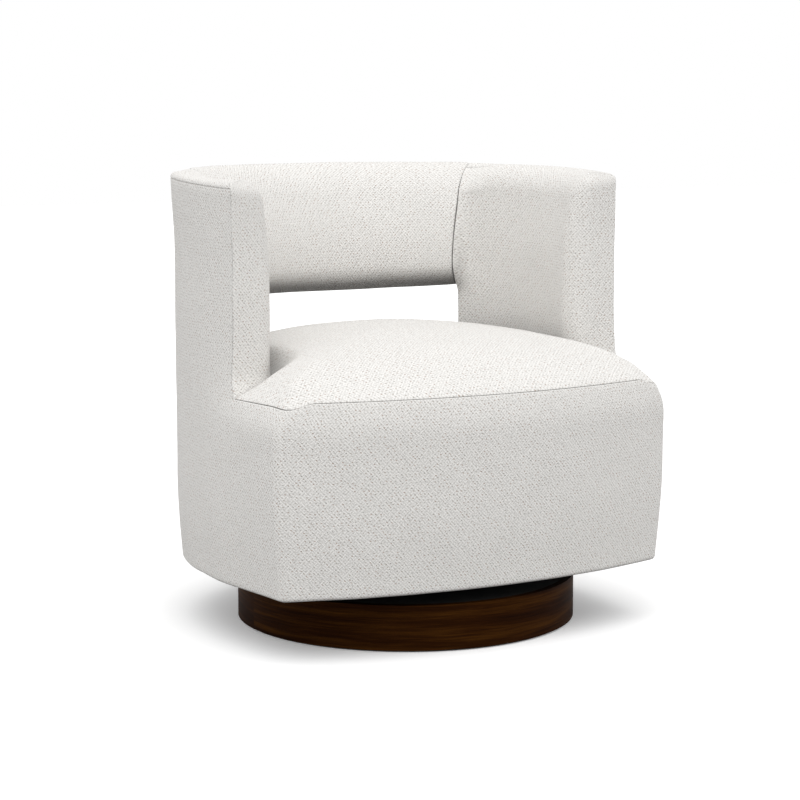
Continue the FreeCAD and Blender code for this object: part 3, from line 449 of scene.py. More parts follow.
def skin(surface, cloth, edge_u, edge_v, seed, tuck=0.0):
    """A cover: a grid of points on its outside, given thickness inwards, with rounded edges.
    edge_u and edge_v are the distances of columns and rows from the nearest border, and tuck
    is how far the inner side's top edge stays below the outer one."""
    normal = facing(surface)
    near_u = 0.15 * np.clip(SEAM_ROUND - edge_u, 0, SEAM_ROUND)[None, :]
    near_v = np.clip(SEAM_ROUND - edge_v, 0, SEAM_ROUND)[:, None]
    near = np.minimum(np.hypot(near_u, near_v), SEAM_ROUND)
    sink = SEAM_ROUND - np.sqrt(SEAM_ROUND ** 2 - near ** 2)
    calm = smooth(np.minimum(edge_u[None, :], edge_v[:, None]) / 0.02)
    ease = EASE * wave(surface, seed) * calm
    form = Form()
    outer = form.add(surface + normal * (ease - sink)[:, :, None])
    back = surface - normal * SKIN_T
    climb = run_of(surface[:, 0])
    back[:, :, 2] -= tuck * smooth(1 - (climb[-1] - climb) / 0.02)[:, None]
    inner = form.add(back)
    form.grid(outer, cloth)
    form.grid(inner[:, ::-1], cloth[:, ::-1])
    sides = ((outer[0], inner[0], cloth[0]), (inner[-1], outer[-1], cloth[-1]),
             (inner[:, 0], outer[:, 0], cloth[:, 0]), (outer[:, -1], inner[:, -1], cloth[:, -1]))
    for a, b, c in sides:
        form.grid(np.stack([b, a]), np.stack([c, c]))
    return form


def border(distances):
    return np.minimum(distances, distances[-1] - distances)


def outside_rows(top):
    """Heights of the rows of a body cover from its turned-under edge to its top, each with the
    distance that the row is turned in under the body."""
    under = [(BODY_Z, UNDER_TURN), (BODY_Z, 0.5 * UNDER_TURN), (BODY_Z, 0.0)]
    turns = np.radians((20, 40, 60, 75, 90))
    rise = [(BODY_Z + BASE_ROUND * (1 - math.cos(turn)), 0.0) for turn in turns]
    climb = spread(top - BODY_Z - BASE_ROUND)[4:] + BODY_Z + BASE_ROUND
    return under + rise + [(z, 0.0) for z in climb]


def body_grid(rows, columns):
    """A grid on the body: columns(z) gives the plan points of the row at a height."""
    surface = []
    for z, inset in rows:
        points = columns(z)
        points = points + inwards(points) * inset
        surface.append(np.column_stack([points, np.full(len(points), z)]))
    return np.array(surface)


def outside_cover():
    """The cloth round the outside of the right arm, from the front crease to the bolster."""
    rows = outside_rows(ARM_SEAM_Z - TOP_GAP)
    _, _, (back, edge, _, _, _) = plan(BELLY_Z)
    share = spread(edge - back) / (edge - back)

    def columns(z):
        points, run, (back, edge, _, _, _) = plan(z)
        return along(points, run, lerp(edge, back, share))

    surface = fall_to_front(body_grid(rows, columns))
    up = run_of(surface[:, len(share) // 2])
    cloth = np.stack(np.meshgrid(edge - share * (edge - back), up), 2)
    return skin(surface, cloth, border(share * (edge - back)), border(up), seed=11)


def seam_height(before_start, past_end):
    """Height of the seat's front seam at a distance before the corner starts or after it ends."""
    side = lerp(SEAM_CORNER_Z, SEAM_SIDE_Z, smooth(before_start / SEAM_DIP_RUN))
    front = lerp(SEAM_CORNER_Z, SEAM_FRONT_Z, smooth(past_end / SEAM_DIP_RUN))
    return np.where(before_start > 0, side, np.where(past_end > 0, front, SEAM_CORNER_Z))


def front_stations(z, shares):
    """Plan points of the front cover's right half at a height, for columns given as shares of
    the side facet, the corner and the front."""
    points, run, (_, edge, corner_start, corner_end, end) = plan(z)
    places = np.interp(shares, [0, 1, 2, 3], [edge, corner_start, corner_end, end])
    return along(points, run, places), places, corner_start, corner_end


def front_columns():
    """Shares of the front cover's columns, from the crease to the middle of the front."""
    _, _, (_, edge, corner_start, corner_end, end) = plan(BELLY_Z)
    side = spread(corner_start - edge) / (corner_start - edge)
    front = np.linspace(0, 1, int((end - corner_end) / GRID))
    return np.concatenate([side[:-3], 1 + np.linspace(0, 1, 11), 2 + front[1:]])


def seam_line():
    """The seam between the seat and the front cover: right half, from the arm to the middle."""
    shares = front_columns()
    _, places, start, end = front_stations(SEAM_Z, shares)
    heights = seam_height(start - places, places - end)
    points = [front_stations(z, shares)[0][i] for i, z in enumerate(heights)]
    return np.column_stack([np.array(points), heights])


def front_cover():
    """The cloth round the front of the body, from crease to crease and from base to seam."""
    shares = front_columns()
    seam = seam_line()[:, 2]
    rows = outside_rows(SEAM_Z)
    levels = np.array([z for z, _ in rows])
    insets = np.array([inset for _, inset in rows])
    heights = np.linspace(BODY_Z, SEAM_FRONT_Z + 0.004, 160)
    table = np.array([front_stations(z, shares)[0] for z in heights])
    lift = smooth((levels - BELLY_Z) / (SEAM_Z - BELLY_Z))
    half = np.zeros((len(rows), len(shares), 3))
    for j in range(len(shares)):
        z = levels + (seam[j] - SEAM_OPENING - SEAM_Z) * lift
        column = np.column_stack([np.interp(z, heights, table[:, j, k]) for k in range(2)])
        half[:, j] = np.column_stack([column + inwards(column) * insets[:, None], z])
    surface = np.concatenate([half * (-1, 1, 1), half[:, ::-1][:, 1:]], 1)
    across = run_of(surface[len(rows) // 2])
    up = run_of(surface[:, surface.shape[1] // 2])
    cloth = np.stack(np.meshgrid(across, up), 2)
    return skin(surface, cloth, border(across), border(up), seed=12, tuck=0.004)


def back_grid(rows):
    """Places round the back, from one arm's end to the other's, and the points of each row."""
    places = spread(BARREL_R * (math.pi - 2 * BACK_ANGLE))
    round_back = directions(BACK_ANGLE + places / BARREL_R)

    def columns(z):
        return CENTRE + (BARREL_R - body_at(z)[0]) * round_back

    return places, body_grid(rows, columns)


def back_lower_cover():
    """The cloth round the back of the body, below the seat."""
    places, surface = back_grid(outside_rows(SEAM_Z - 0.0008))
    up = run_of(surface[:, len(places) // 2])
    return skin(surface, np.stack(np.meshgrid(places, up), 2), border(places), border(up), 13)


def bolster_outside():
    """The cloth over the back of the bolster."""
    low = ROLL_BOTTOM_Z + 0.004
    up = spread(ARM_SEAM_Z - TOP_GAP - low)
    places, surface = back_grid([(z, 0.0) for z in up + low])
    return skin(surface, np.stack(np.meshgrid(places, up + low), 2), border(places), border(up), 14)


def on_ring(depth, radius):
    """The point at a depth behind the arm's front face and a distance from the barrel axis."""
    start = ARM_EDGE - ARM_OUT * depth
    b = float(start @ ARM_INWARDS)
    c = float(start @ start) - radius ** 2
    return start + ARM_INWARDS * (-b - math.sqrt(b * b - c))


def turn_of(vector):
    return math.atan2(vector[1], vector[0])


def bend(hub, radius, start, end, count):
    """Points of a round corner, between two directions from its hub."""
    way = (end - start + math.pi) % (2 * math.pi) - math.pi
    angles = start + way * np.linspace(0, 1, count)
    return hub + radius * directions(angles)


def roll_offset(z):
    """How far the bolster's front stands in front of the arm's inner face at a height."""
    return float(np.interp(z - ROLL_BOTTOM_Z, ROLL_OFFSETS[:, 0], ROLL_OFFSETS[:, 1]))


def arm_swell(z, angle):
    """How far the arm's inner face swells past its plain circle, by height and direction."""
    height = smooth((SWELL_TOP_Z - z) / (SWELL_TOP_Z - SWELL_FULL_Z))
    ahead = smooth((SWELL_AHEAD[0] - angle) / SWELL_AHEAD[1])
    to_end = (BACK_ANGLE - angle) * ARM_INNER_R / END_SWELL_RUN
    return ARM_SWELL * height * ahead + roll_offset(z) * (1 - np.clip(to_end, 0, 1)) ** 2


def arm_ring(z, hidden):
    """One closed loop round the right arm at a height, about the barrel axis. hidden is how far
    its outer side lies under the outside cover."""
    above_shoulder = max(z - (ARM_CREST_Z - ARM_INNER_ROUND), 0.0)
    above_nose = max(z - (ARM_CREST_Z - ARM_NOSE_ROUND), 0.0)
    shoulder = ARM_INNER_ROUND - math.sqrt(ARM_INNER_ROUND ** 2 - above_shoulder ** 2)
    flat = ARM_INNER_R + shoulder
    inner = flat - arm_swell(z, ARM_FRONT_ANGLE)
    end = flat - arm_swell(z, BACK_ANGLE)
    front = ARM_NOSE_ROUND - math.sqrt(ARM_NOSE_ROUND ** 2 - above_nose ** 2) - foot_kick(z)
    crest_r = ARM_INNER_R + ARM_INNER_ROUND
    outline = half_outline(*body_at(z))[0] - CENTRE
    bearings = np.arctan2(outline[::-1, 1], outline[::-1, 0])
    radii = np.linalg.norm(outline[::-1], axis=1)
    outer = float(np.interp(ARM_FRONT_ANGLE, bearings, radii))
    turns = np.linspace(BACK_ANGLE, turn_of(on_ring(front + ARM_LIP, outer)), 56)
    outer_side = np.interp(turns, bearings, radii)
    if z > ARM_SEAM_Z:
        share = min((z - ARM_SEAM_Z) / (ARM_CREST_Z - ARM_SEAM_Z), 1.0)
        outer = crest_r + (BARREL_R + TOP_FLARE - crest_r) * math.sqrt(1 - share ** 2)
        outer_side = np.full(len(turns), outer)
    width = outer - inner
    soft = min(ARM_CORNER_ROUND, 0.42 * width)
    crisp = min(ARM_EDGE_ROUND, 0.2 * width)
    end_soft = min(ARM_END_ROUND, 0.2 * width)

    inner_hub = on_ring(front + soft, inner + soft)
    outer_hub = on_ring(front + crisp, outer - crisp)
    touch_inner = inner_hub * (1 - soft / np.linalg.norm(inner_hub))
    back = BACK_ANGLE - end_soft / end
    end_hub = (end + end_soft) * np.array([math.cos(back), math.sin(back)])
    inside = np.linspace(turn_of(touch_inner), back, 50)[1:-1]
    inside_r = flat - arm_swell(z, inside)
    across = np.array([math.cos(BACK_ANGLE), math.sin(BACK_ANGLE)])
    out = turn_of(ARM_OUT)
    parts = [
        (outer_side - hidden)[:, None] * directions(turns),
        [on_ring(front + ARM_LIP - 0.0002, outer - min(hidden, 0.0010))],
        [on_ring(front + ARM_LIP - 0.0008, outer - min(hidden, 0.0002))],
        bend(outer_hub, crisp, turn_of(outer_hub), out, 6),
        line(outer_hub + ARM_OUT * crisp, inner_hub + ARM_OUT * soft, 11)[1:-1],
        bend(inner_hub, soft, out, turn_of(-inner_hub), 14),
        inside_r[:, None] * directions(inside),
        bend(end_hub, end_soft, turn_of(-end_hub), 0.5 * math.pi + back, 5),
        line(across * (end + end_soft), across * (outer - hidden - 0.001), 8)[1:],
    ]
    return np.concatenate([np.asarray(p, float).reshape(-1, 2) for p in parts])


def arm_levels():
    """Heights of the arm's loops, and how far under the outside cover each one's outer side is."""
    def on_round(degrees):
        return ARM_CREST_Z - ARM_INNER_ROUND * (1 - math.sin(math.radians(degrees)))

    ledge = ARM_SEAM_Z - ARM_LEDGE_DROP
    steps = ((0.0, UNDER_SKIN), (0.0004, 0.0012), (0.0008, 0.0005), (0.0013, 0.0001), (0.0019, 0.0))
    flat = [(z, UNDER_SKIN) for z in np.linspace(ARM_FOOT_Z, on_round(0), 30)]
    covered = [(on_round(degrees), UNDER_SKIN) for degrees in (6, 12, 18, 24, 30, 35)]
    groove = [(ledge + z, hidden) for z, hidden in steps]
    top = [(on_round(degrees), 0.0) for degrees in (43, 48, 53, 58, 63, 68, 73, 78, 82, 86)]
    return flat + covered + groove + top


def arm():
    """The right arm's inside, top and front, as one padded form."""
    loops = []
    for z, hidden in arm_levels():
        ring = arm_ring(z, hidden)
        loops.append(np.column_stack([ring + CENTRE, np.full(len(ring), z)]))
    surface = fall_to_front(np.array(loops))
    closed = np.concatenate([surface, surface[:, :1]], 1)
    measured_loop, measured_column = 10, 100
    around = run_of(closed[measured_loop])
    height = run_of(surface[:, measured_column])
    cloth = np.stack(np.meshgrid(around, height), 2)
    ease = EASE * wave(closed, 21) * smooth((ARM_SEAM_Z - closed[:, :, 2]) / 0.03)
    eased = closed + facing(closed) * ease[:, :, None]
    form = Form()
    index = form.add(eased[:, :-1])
    index = np.concatenate([index, index[:, :1]], 1)
    form.grid(index, cloth)
    form.loose([index[0, :-1].tolist()], surface[0, :, :2])
    form.loose([index[-1, :-1].tolist()], surface[-1, :, :2])
    return form


def roll_section():
    """The bolster in section, as distances from the barrel axis and heights, from the foot of
    its back round the underside, front and top to the seam and down again."""
    back = BARREL_R - UNDER_SKIN
    hub = (BARREL_R - ROLL_DEPTH + ROLL_ROUND, ROLL_BOTTOM_Z + ROLL_ROUND)
    half = (hub[0] - ROLL_ROUND * math.sqrt(0.5), hub[1] - ROLL_ROUND * math.sqrt(0.5))
    front = (BARREL_R - ROLL_DEPTH, hub[1])
    waist = (BARREL_R - ROLL_WAIST_DEPTH, ROLL_WAIST_Z)
    shoulder = (BARREL_R - ROLL_SHOULDER_DEPTH, ROLL_SHOULDER_Z)
    crest = (BARREL_R - ROLL_CREST_DEPTH, ROLL_CREST_Z)
    above = (lerp(shoulder[0], crest[0], 0.4), lerp(shoulder[1], crest[1], 0.62))
    seam = (BARREL_R + TOP_FLARE, ARM_SEAM_Z)
    heel = (BARREL_R - 0.0002, ROLL_BOTTOM_Z + 0.0012)
    parts = [
        line((back, ROLL_BOTTOM_Z + 0.004), (back, ROLL_BOTTOM_Z + 0.0035), 2),
        line((BARREL_R - 0.0010, ROLL_BOTTOM_Z + 0.0033), heel, 2),
        line((BARREL_R - 0.003, ROLL_BOTTOM_Z), (hub[0], ROLL_BOTTOM_Z), 8),
        arc_through((hub[0], ROLL_BOTTOM_Z), half, front, 14)[1:],
        arc_through(front, waist, shoulder, 16)[1:],
        arc_through(shoulder, above, crest, 14)[1:],
        line(crest, (seam[0] - 0.0015, seam[1] + 0.0010), ROLL_TOP_POINTS)[1:],
        [(seam[0] - 0.0002, seam[1] - 0.0004), (seam[0] - 0.0010, seam[1] - 0.0013),
         (seam[0] - 0.0022, seam[1] - 0.0016), (seam[0] - UNDER_SKIN, seam[1] - 0.0016)],
        line((seam[0] - UNDER_SKIN, seam[1] - 0.003), (back, ARM_SEAM_Z - 0.06), 3),
        line((back, ARM_SEAM_Z - 0.07), (back, ROLL_BOTTOM_Z + 0.02), 8),
    ]
    return np.concatenate([np.asarray(p, float).reshape(-1, 2) for p in parts])


def bolster():
    """The back bolster's underside, front and top, as one padded form."""
    section = roll_section()
    ahead = np.roll(section, -1, 0) - np.roll(section, 1, 0)
    inward = np.stack([-ahead[:, 1], ahead[:, 0]], 1)
    inward = inward / np.linalg.norm(inward, axis=1, keepdims=True)
    centre = section.mean(0)
    if ((centre - section) * inward).sum() < 0:
        inward = -inward
    gap = ROLL_END_GAP / ARM_INNER_R
    start, end = BACK_ANGLE + gap, math.pi - BACK_ANGLE - gap
    length = (end - start) * ARM_INNER_R
    edge = ROLL_END_ROUND * np.array([0.0, 0.05, 0.18, 0.38, 0.65, 1.0])
    middle = np.linspace(ROLL_END_ROUND, length - ROLL_END_ROUND, 52)[1:-1]
    places = np.concatenate([edge, middle, length - edge[::-1]])
    columns = []
    for place in places:
        angle = start + place / ARM_INNER_R
        sink = float(rounded(min(place, length - place), ROLL_END_ROUND))
        ring = section + inward * sink
        middle_share = math.sin(math.pi * place / length)
        low = 1 - fade(ring[:, 1], ROLL_LOW_Z)
        r, z = ring[:, 0], ring[:, 1] + low * lerp(ROLL_SAG, -ROLL_SAG, middle_share ** 0.7)
        columns.append(np.stack([r * math.cos(angle), BARREL_Y + r * math.sin(angle), z], 1))
    surface = np.array(columns).transpose(1, 0, 2)
    closed = np.concatenate([surface, surface[:1]], 0)
    up = run_of(np.concatenate([section, section[:1]]))
    cloth = np.stack(np.meshgrid(places, up), 2)
    calm = smooth(border(places) / 0.03)[None, :, None]
    eased = closed + facing(closed) * calm * EASE * wave(closed, 22)[:, :, None] * 1.5
    eased[-1] = eased[0]
    form = Form()
    index = form.add(eased[:-1])
    index = np.concatenate([index, index[:1]], 0)
    form.grid(index, cloth)
    form.loose([index[:-1, 0].tolist()], section)
    form.loose([index[:-1, -1].tolist()], section)
    return form


def crown_share(points):
    """How far plan points are from the seat's top towards the body's outline, from 0 to 1."""
    outline = half_outline(0.0, 0.0, 1.0)[0]
    angle = np.arctan2(outline[:, 0], outline[:, 1] - SEAT_APEX_Y)
    reach = np.hypot(outline[:, 0], outline[:, 1] - SEAT_APEX_Y)
    own = np.arctan2(np.abs(points[:, 0]), points[:, 1] - SEAT_APEX_Y)
    return np.hypot(points[:, 0], points[:, 1] - SEAT_APEX_Y) / np.interp(own, angle, reach)


def crown_height(points):
    s = crown_share(points)
    return SEAT_APEX_Z - CROWN_DROP * s ** 2 - CROWN_EDGE_DROP * s ** CROWN_EDGE_POWER


def inset_loop(points, distance):
    """A closed loop of plan points, moved inwards. The loop runs anticlockwise."""
    ahead = np.roll(points, -1, 0) - np.roll(points, 1, 0)
    left = np.stack([-ahead[:, 1], ahead[:, 0]], 1)
    return points + left / np.linalg.norm(left, axis=1, keepdims=True) * distance


def seat_border():
    """The seat's outline in plan, anticlockwise from the middle of the front, with the height
    of its edge and the run over which the crown comes down to it."""
    seam = seam_line()[::-1]
    seam_plan = seam[:, :2] + inwards(seam[:, :2]) * SEAT_SEAM_GAP
    seam_plan = seam_plan[front_depth(seam_plan) < -foot_kick(SEAM_SIDE_Z) - 0.001]
    seam_high = seam[:len(seam_plan), 2]
    soft = ARM_CORNER_ROUND + SEAT_SIDE_GAP
    face_r = ARM_INNER_R - arm_swell(SEAT_CORNER_Z, ARM_FRONT_ANGLE)
    hub = on_ring(ARM_CORNER_ROUND - foot_kick(SEAT_CORNER_Z), face_r + ARM_CORNER_ROUND)
    face = line(seam_plan[-1] - CENTRE, hub + ARM_OUT * soft, 14)
    rise = lerp(SEAM_SIDE_Z, SEAT_CORNER_Z, np.linspace(0, 1, len(face)))
    ahead = front_depth(face + CENTRE) + foot_kick(rise) + SEAT_SIDE_GAP
    face = face + ARM_OUT * ahead[:, None]
    corner = bend(hub, soft, turn_of(ARM_OUT), turn_of(-hub), 12)
    past_end = BACK_ANGLE + 0.003
    turns = np.linspace(turn_of(-soft * hub / np.linalg.norm(hub) + hub), past_end, 48)
    inner_r = ARM_INNER_R - SEAT_SIDE_GAP - arm_swell(SEAT_CORNER_Z, turns)
    inner = inner_r[:, None] * directions(turns)
    across = np.array([math.cos(past_end), math.sin(past_end)])
    back_r = BARREL_R - SEAT_BACK_GAP
    end = line(across * (ARM_INNER_R - SEAT_SIDE_GAP), across * back_r, 10)
    back = back_r * directions(np.linspace(past_end, 0.5 * math.pi, 36))

    corner, inner, end, back = [points[1:] + CENTRE for points in (corner, inner, end, back)]
    face = face + CENTRE
    along_inner = smooth(run_of(inner) / SEAT_CORNER_RUN)
    inner_low = lerp(SEAT_CORNER_Z, crown_height(inner) - SEAT_TUCK, along_inner)
    end_low = lerp(crown_height(end) - SEAT_TUCK, SEAM_Z, smooth(np.linspace(0, 1, len(end))))
    stretches = [
        (seam_plan, seam_high, SEAT_FRONT_RUN),
        (face, lerp(seam_high[-1], SEAT_CORNER_Z, np.linspace(0, 1, len(face))), SEAT_TUCK_RUN),
        (corner, np.full(len(corner), SEAT_CORNER_Z), SEAT_TUCK_RUN),
        (inner, inner_low, SEAT_TUCK_RUN),
        (end, end_low, SEAT_FRONT_RUN),
        (back, np.full(len(back), SEAM_Z), SEAT_FRONT_RUN),
    ]
    half = np.concatenate([np.column_stack([points, high, np.full(len(points), run)])
                           for points, high, run in stretches])
    other = half[::-1] * (-1, 1, 1, 1)
    return np.concatenate([half, other[1:-1]])


def seat():
    """The crowned seat between the arms, as one padded form."""
    edge = seat_border()
    outline = edge[:, :2]
    rings = [outline] + [inset_loop(outline, SEAM_ROUND * t) for t in (0.15, 0.5)]
    inner = inset_loop(outline, SEAM_ROUND * 1.1)
    low, high = outline.min(0), outline.max(0)
    lattice = []
    for row, y in enumerate(np.arange(low[1], high[1], SEAT_GRID * math.sqrt(0.75))):
        offset = 0.5 * SEAT_GRID * (row % 2)
        lattice.extend((x + offset, y) for x in np.arange(low[0], high[0], SEAT_GRID))
    lattice = np.array(lattice)
    gap = np.linalg.norm(lattice[:, None] - outline[None], axis=2).min(1)
    crossings = np.zeros(len(lattice), int)
    for a, b in zip(outline, np.roll(outline, -1, 0)):
        spans = (a[1] > lattice[:, 1]) != (b[1] > lattice[:, 1])
        rise = b[1] - a[1] if b[1] != a[1] else 1.0
        crossings += spans & (lattice[:, 0] < a[0] + (b[0] - a[0]) * (lattice[:, 1] - a[1]) / rise)
    lattice = lattice[(crossings % 2 == 1) & (gap > SEAT_GRID_EDGE)]
    flat = np.concatenate([inner, lattice])
    count = len(outline)
    loop = [(i, (i + 1) % count) for i in range(count)]
    found = delaunay_2d_cdt([Vector(p) for p in flat], loop, [], 1, 1e-7)
    plan_points = np.array([tuple(v) for v in found[0]])
    faces = [list(f) for f in found[2]]
    own = [int(np.argmin(np.linalg.norm(plan_points - p, axis=1))) for p in inner]
    strip = np.array([len(plan_points) + k * count + np.arange(count) for k in range(3)] + [own])
    strip = np.concatenate([strip, strip[:, :1]], 1)
    plan_points = np.concatenate([plan_points] + rings)

    apart = np.linalg.norm(plan_points[:, None] - outline[None], axis=2)
    weight = 1.0 / (apart ** 2 + 1e-7) ** 2
    weight = weight / weight.sum(1, keepdims=True)
    short = weight @ (edge[:, 2] - crown_height(outline))
    reach = weight @ edge[:, 3]
    near = apart.min(1)
    z = crown_height(plan_points) + short * (1 - smooth(near / reach))
    z = z - rounded(near, SEAM_ROUND)
    solid = np.column_stack([plan_points, z])
    solid[:, 2] += 2.0 * EASE * wave(solid, 31, size=0.14) * smooth(near / 0.05)

    form = Form()
    form.add(solid)
    form.loose(faces, np.concatenate([plan_points[f] for f in faces]))
    form.grid(strip[::-1], plan_points[strip[::-1]])
    rim = strip[0, :-1]
    tucked = inset_loop(outline, SKIN_T + SEAT_SIDE_GAP)
    walls = np.array([np.column_stack([tucked, solid[rim, 2] - 0.002]),
                      np.column_stack([tucked, np.full(count, SEAT_FLOOR_Z + 0.004)])])
    index = np.concatenate([[rim], form.add(walls)])
    index = np.concatenate([index, index[:, :1]], 1)
    around = run_of(np.concatenate([outline, outline[:1]]))
    form.grid(index, np.stack(np.meshgrid(around, (0.0, 0.002, 0.08)), 2))
    form.loose([index[-1, :-1].tolist()], tucked)
    return form


class Shader:
    """A small helper that adds nodes to a material and joins them."""

    def __init__(self, name):
        self.material = bpy.data.materials.new(name)
        self.material.use_nodes = True
        self.tree = self.material.node_tree
        self.surface = self.tree.nodes["Principled BSDF"]

    def node(self, kind, inputs=(), **settings):
        node = self.tree.nodes.new(kind)
        for key, value in settings.items():
            setattr(node, key, value)
        for key, value in dict(inputs).items():
            self.set(node.inputs[key], value)
        return node

    def set(self, socket, value):
        if isinstance(value, bpy.types.NodeSocket):
            self.tree.links.new(value, socket)
        else:
            socket.default_value = value

    def math(self, operation, *values):
        node = self.node("ShaderNodeMath", operation=operation)
        for socket, value in zip(node.inputs, values):
            self.set(socket, value)
        return node.outputs[0]

    def mix(self, factor, a, b, blend="MIX"):
        node = self.node("ShaderNodeMix", data_type="RGBA", blend_type=blend)
        self.set(node.inputs["Factor"], factor)
        self.set(node.inputs[6], a)
        self.set(node.inputs[7], b)
        return node.outputs[2]

    def step(self, value, low, high, to_low=0.0, to_high=1.0):
        node = self.node("ShaderNodeMapRange", interpolation_type="SMOOTHSTEP")
        for key, number in (("Value", value), ("From Min", low), ("From Max", high),
                            ("To Min", to_low), ("To Max", to_high)):
            self.set(node.inputs[key], number)
        return node.outputs[0]

    def grey(self, level):
        node = self.node("ShaderNodeCombineColor", inputs={"Red": level, "Green": level, "Blue": level})
        return node.outputs[0]

    def join(self, x, y, z=0.0):
        node = self.node("ShaderNodeCombineXYZ", inputs={"X": x, "Y": y, "Z": z})
        return node.outputs[0]

    def noise(self, vector, scale, detail=2.0, roughness=0.5, dimensions="3D"):
        node = self.node("ShaderNodeTexNoise", noise_dimensions=dimensions,
                         inputs={"Scale": scale, "Detail": detail, "Roughness": roughness})
        self.set(node.inputs["Vector"], vector)
        return node.outputs["Fac"]

    def bump(self, height, distance, strength):
        node = self.node("ShaderNodeBump", inputs={"Strength": strength, "Distance": distance})
        self.set(node.inputs["Height"], height)
        return node.outputs[0]


def rgb(r, g, b):
    return (r, g, b, 1.0)


# Weave: how far apart its flecks, rows and slubs are, and how far threads drift from their rows
FLECK_PITCH = 0.0076
ROW_PITCH = 0.0046
SLUB_PITCH = 0.0056
THREAD_DRIFT = 0.003
WEAVE_RELIEF = 0.0005
IVORY = rgb(0.80, 0.785, 0.76)
BEIGE = rgb(0.27, 0.20, 0.13)
GREY = rgb(0.23, 0.22, 0.20)
RUST = rgb(0.34, 0.22, 0.16)

# Painted shade: an ambient occlusion node darkens the cloth's colour in crevices, nooks and under the
# bolster; how far it looks, and the occlusion at which the painted shade is fullest
PAINTED_SHADE_REACH = 0.30
PAINTED_SHADE_FULL_AO = 0.13


def woven(name, painted_shade_darkest, painted_shade_ends_at):
    """Chunky ivory cloth: rows of small beige and grey flecks among diagonal slubs, with painted
    shade: ambient occlusion darkens its colour where parts meet and under overhangs. The second
    argument is the share of its colour left where the painted shade is darkest, and the third the
    occlusion above which no painted shade is added."""
    s = Shader(name)
    place = s.node("ShaderNodeUVMap", uv_map="cloth").outputs[0]
    drift = s.node("ShaderNodeTexNoise", noise_dimensions="2D", inputs={"Scale": 28.0, "Detail": 1.0})
    s.set(drift.inputs["Vector"], place)
    shift = s.node("ShaderNodeVectorMath", operation="MULTIPLY_ADD")
    s.set(shift.inputs[0], drift.outputs["Color"])
    shift.inputs[1].default_value = (THREAD_DRIFT, THREAD_DRIFT, 0.0)
    s.set(shift.inputs[2], place)
    parts = s.node("ShaderNodeSeparateXYZ", inputs={"Vector": shift.outputs[0]})
    u, v = parts.outputs[0], parts.outputs[1]

    high = s.math("DIVIDE", v, ROW_PITCH)
    row = s.math("FLOOR", high)
    wide = s.math("ADD", s.math("DIVIDE", u, FLECK_PITCH), s.math("MULTIPLY", row, 0.43))
    cell = s.math("FLOOR", wide)
    random = s.node("ShaderNodeTexWhiteNoise", noise_dimensions="2D",
                    inputs={"Vector": s.join(cell, row)})
    dice = s.node("ShaderNodeSeparateColor", inputs={"Color": random.outputs["Color"]})
    x = s.math("SUBTRACT", s.math("SUBTRACT", wide, cell),
               s.math("MULTIPLY_ADD", dice.outputs[0], 0.5, 0.25))
    y = s.math("SUBTRACT", s.math("SUBTRACT", high, row),
               s.math("MULTIPLY_ADD", dice.outputs[1], 0.4, 0.30))
    slanted = s.math("MULTIPLY_ADD", y, 0.5, x)
    away = s.math("SQRT", s.math("ADD", s.math("POWER", s.math("DIVIDE", slanted, 0.22), 2.0),
                                 s.math("POWER", s.math("DIVIDE", y, 0.30), 2.0)))
    force = s.math("MULTIPLY_ADD", random.outputs["Value"], 0.8, 0.2)
    fleck = s.math("MULTIPLY", s.step(away, 0.35, 1.0, 1.0, 0.0), force)

    def slubs(sign):
        across = s.math("MULTIPLY_ADD", u, sign, v)
        return s.math("SINE", s.math("MULTIPLY", across, 2 * math.pi / SLUB_PITCH))

    patch = s.step(s.noise(place, 210.0, dimensions="2D"), 0.42, 0.58)
    chevron = s.math("ADD", s.math("MULTIPLY", slubs(1.0), patch),
                     s.math("MULTIPLY", slubs(-1.0), s.math("SUBTRACT", 1.0, patch)))
    fibre = s.noise(place, 1400.0, roughness=0.6, dimensions="2D")
    cloud = s.noise(place, 9.0, dimensions="2D")
    relief = s.math("ADD", s.math("MULTIPLY", chevron, 0.5), fibre)
    relief = s.math("SUBTRACT", relief, s.math("MULTIPLY", fleck, 0.9))

    tone = s.math("ADD", s.math("MULTIPLY_ADD", chevron, 0.13, 0.97),
                  s.math("MULTIPLY_ADD", fibre, 0.46, -0.23))
    tone = s.math("ADD", tone, s.math("MULTIPLY_ADD", cloud, 0.04, -0.02))
    ground = s.mix(1.0, IVORY, s.grey(tone), "MULTIPLY")
    thread = s.mix(dice.outputs[2], BEIGE, GREY)
    thread = s.mix(s.step(dice.outputs[0], 0.80, 0.86), thread, RUST)
    colour = s.mix(s.math("MULTIPLY", fleck, 0.85), ground, thread)
    # Painted shade: the base colour is multiplied down by ambient occlusion, darkening crevices and
    # undersides that the lamps already shade
    painted_shade_occlusion = s.node("ShaderNodeAmbientOcclusion", inputs={"Distance": PAINTED_SHADE_REACH}, samples=12)
    painted_shade_factor = s.step(painted_shade_occlusion.outputs["AO"], PAINTED_SHADE_FULL_AO, painted_shade_ends_at, painted_shade_darkest, 1.0)
    s.set(s.surface.inputs["Base Color"], s.mix(1.0, colour, s.grey(painted_shade_factor), "MULTIPLY"))
    s.surface.inputs["Roughness"].default_value = 0.92
    s.surface.inputs["Specular IOR Level"].default_value = 0.15
    s.surface.inputs["Sheen Weight"].default_value = 0.08
    s.surface.inputs["Sheen Roughness"].default_value = 0.6
    s.set(s.surface.inputs["Normal"], s.bump(relief, WEAVE_RELIEF, 0.8))
    return s.material


